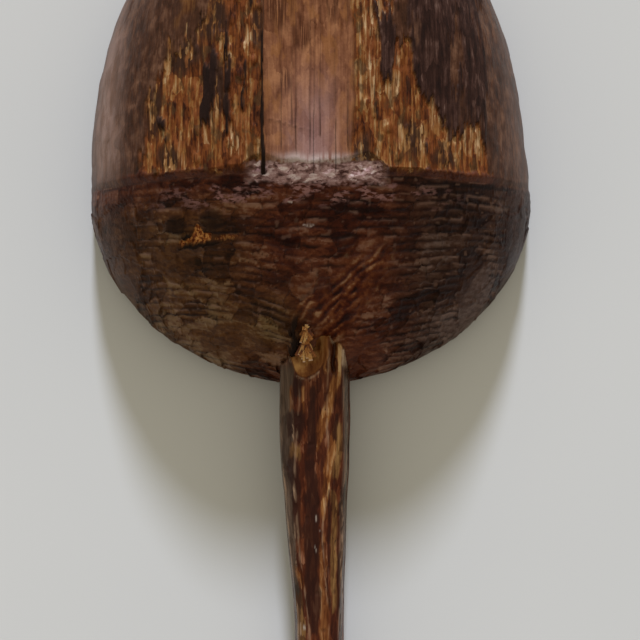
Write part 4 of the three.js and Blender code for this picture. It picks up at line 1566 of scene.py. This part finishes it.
def peg_look(piece):
    """The peg: brown whittled wood, its torn splinters orange and yellow with a few pale tips."""
    look = Look("torn_peg_wood", 0.65)
    fine = look.grain(0.5, 0.9, 4)
    value = look.blend(
        (fine, 0.40), (look.mask("tear"), 0.06), (look.mask("shade"), 0.50), (look.mask("tip"), 0.12)
    )
    colour = look.ramp(value, "peg")
    tip = look.between(look.mask("tip"), 0.90, 0.99)
    pale_tip = look.math("MULTIPLY", tip, look.between(look.mask("shade"), 0.6, 0.7))
    colour = look.mix(pale_tip, colour, (0.62, 0.44, 0.34))
    look.relief(fine, 0.3)
    look.finish(piece, colour, look.math("MULTIPLY_ADD", fine, 0.3, 0.5))


def seal_look(piece):
    """The collar: black-brown glossy pitch with some dust on it."""
    look = Look("pine_pitch", 0.3, specular=0.5)
    lumps = look.grain(3, 3, 4)
    dust = look.grain(0.8, 0.8, 3)
    pitch = look.ramp(lumps, "pitch")
    colour = look.mix(look.between(dust, 0.6, 0.8), pitch, (0.10, 0.065, 0.04))
    look.relief(lumps, 0.5)
    look.finish(piece, colour, look.math("MULTIPLY_ADD", dust, 0.4, 0.15))


PIECES = [
    (build_bowl, bowl_look, "bowl", "bowl_wood"),
    (build_handle, handle_look, "handle", "handle_wood"),
    (build_wedge, wedge_look, "tenon_wedge", "wedge_wood"),
    (build_peg, peg_look, "draw_peg", "peg_wood"),
    (build_seal, seal_look, "pitch_seal", "pitch"),
]

for build, dress, node, slot in PIECES:
    made = build()
    dress(made)
    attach(made, "root")
    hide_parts(node)


# ------------------------------------------------------------------ floor, light and camera

FLOOR_SIZE = 8.0
FLOOR_COLOUR, FLOOR_STAIN = (0.60, 0.60, 0.60), (0.585, 0.587, 0.59)
FOCUS = (4.5 * MM, 35.5 * MM, 0)
CAMERA_HEIGHT = 0.85
VIEW_WIDTH = 0.32
SENSOR = 36
NEAREST_SEEN = 0.05
SUN_HEIGHT = math.radians(28)  # over the floor, from beyond the bowl's far end
SUN_SIZE = math.radians(7)
SUN_STRENGTH, SUN_COLOUR = 3.6, (0.80, 0.86, 1.0)
ROOM_COLOUR = (1.0, 0.93, 0.735, 1.0)
BRIGHT_SIDE = (0.0, 0.66, 0.75)  # the direction that most of the room's light comes from
DIM_END = -0.6  # how far along that direction the light starts to grow
DIM_FILL, BRIGHT_FILL = 0.20, 0.71  # the room's light at its least and its most


def make_floor():
    """The pale surface under the rim."""
    mesh = bpy.data.meshes.new("floor")
    s = FLOOR_SIZE / 2
    mesh.from_pydata([(-s, -s, 0), (s, -s, 0), (s, s, 0), (-s, s, 0)], [], [(0, 1, 2, 3)])
    floor = bpy.data.objects.new("floor", mesh)
    bpy.context.scene.collection.objects.link(floor)
    look = Look("pale_floor", 0.8, specular=0.1)
    stain = look.grain(260, 260, 2)
    look.finish(floor, look.mix(look.between(stain, 0.3, 0.7), FLOOR_COLOUR, FLOOR_STAIN), 0.8)


def make_lights():
    """A low window's light from beyond the bowl, and a room that is brighter on that side."""
    lamp = bpy.data.lights.new("window", "SUN")
    lamp.energy = SUN_STRENGTH
    lamp.angle = SUN_SIZE
    lamp.color = SUN_COLOUR
    window = bpy.data.objects.new("window", lamp)
    towards = Vector((0.02, math.cos(SUN_HEIGHT), math.sin(SUN_HEIGHT)))
    window.rotation_euler = towards.to_track_quat("Z", "Y").to_euler()
    bpy.context.scene.collection.objects.link(window)
    world = bpy.data.worlds.new("studio")
    world.use_nodes = True
    nodes, links = world.node_tree.nodes, world.node_tree.links
    background = nodes["Background"]
    background.inputs["Color"].default_value = ROOM_COLOUR
    towards = nodes.new("ShaderNodeVectorMath")
    towards.operation = "DOT_PRODUCT"
    towards.inputs[1].default_value = BRIGHT_SIDE
    links.new(nodes.new("ShaderNodeTexCoord").outputs["Generated"], towards.inputs[0])
    strength = nodes.new("ShaderNodeMapRange")
    strength.inputs["From Min"].default_value = DIM_END
    strength.inputs["To Min"].default_value = DIM_FILL
    strength.inputs["To Max"].default_value = BRIGHT_FILL
    links.new(towards.outputs["Value"], strength.inputs["Value"])
    links.new(strength.outputs["Result"], background.inputs["Strength"])
    bpy.context.scene.world = world


def make_camera():
    """A view straight down on the crown, the handle towards the picture's foot."""
    camera = bpy.data.objects.new("camera", bpy.data.cameras.new("camera"))
    camera.location = (FOCUS[0], FOCUS[1], CAMERA_HEIGHT)
    camera.data.sensor_width = SENSOR
    camera.data.lens = SENSOR * CAMERA_HEIGHT / VIEW_WIDTH
    camera.data.clip_start = NEAREST_SEEN
    bpy.context.scene.collection.objects.link(camera)
    bpy.context.scene.camera = camera


bpy.context.scene.view_settings.view_transform = "Standard"
make_floor()
make_lights()
make_camera()
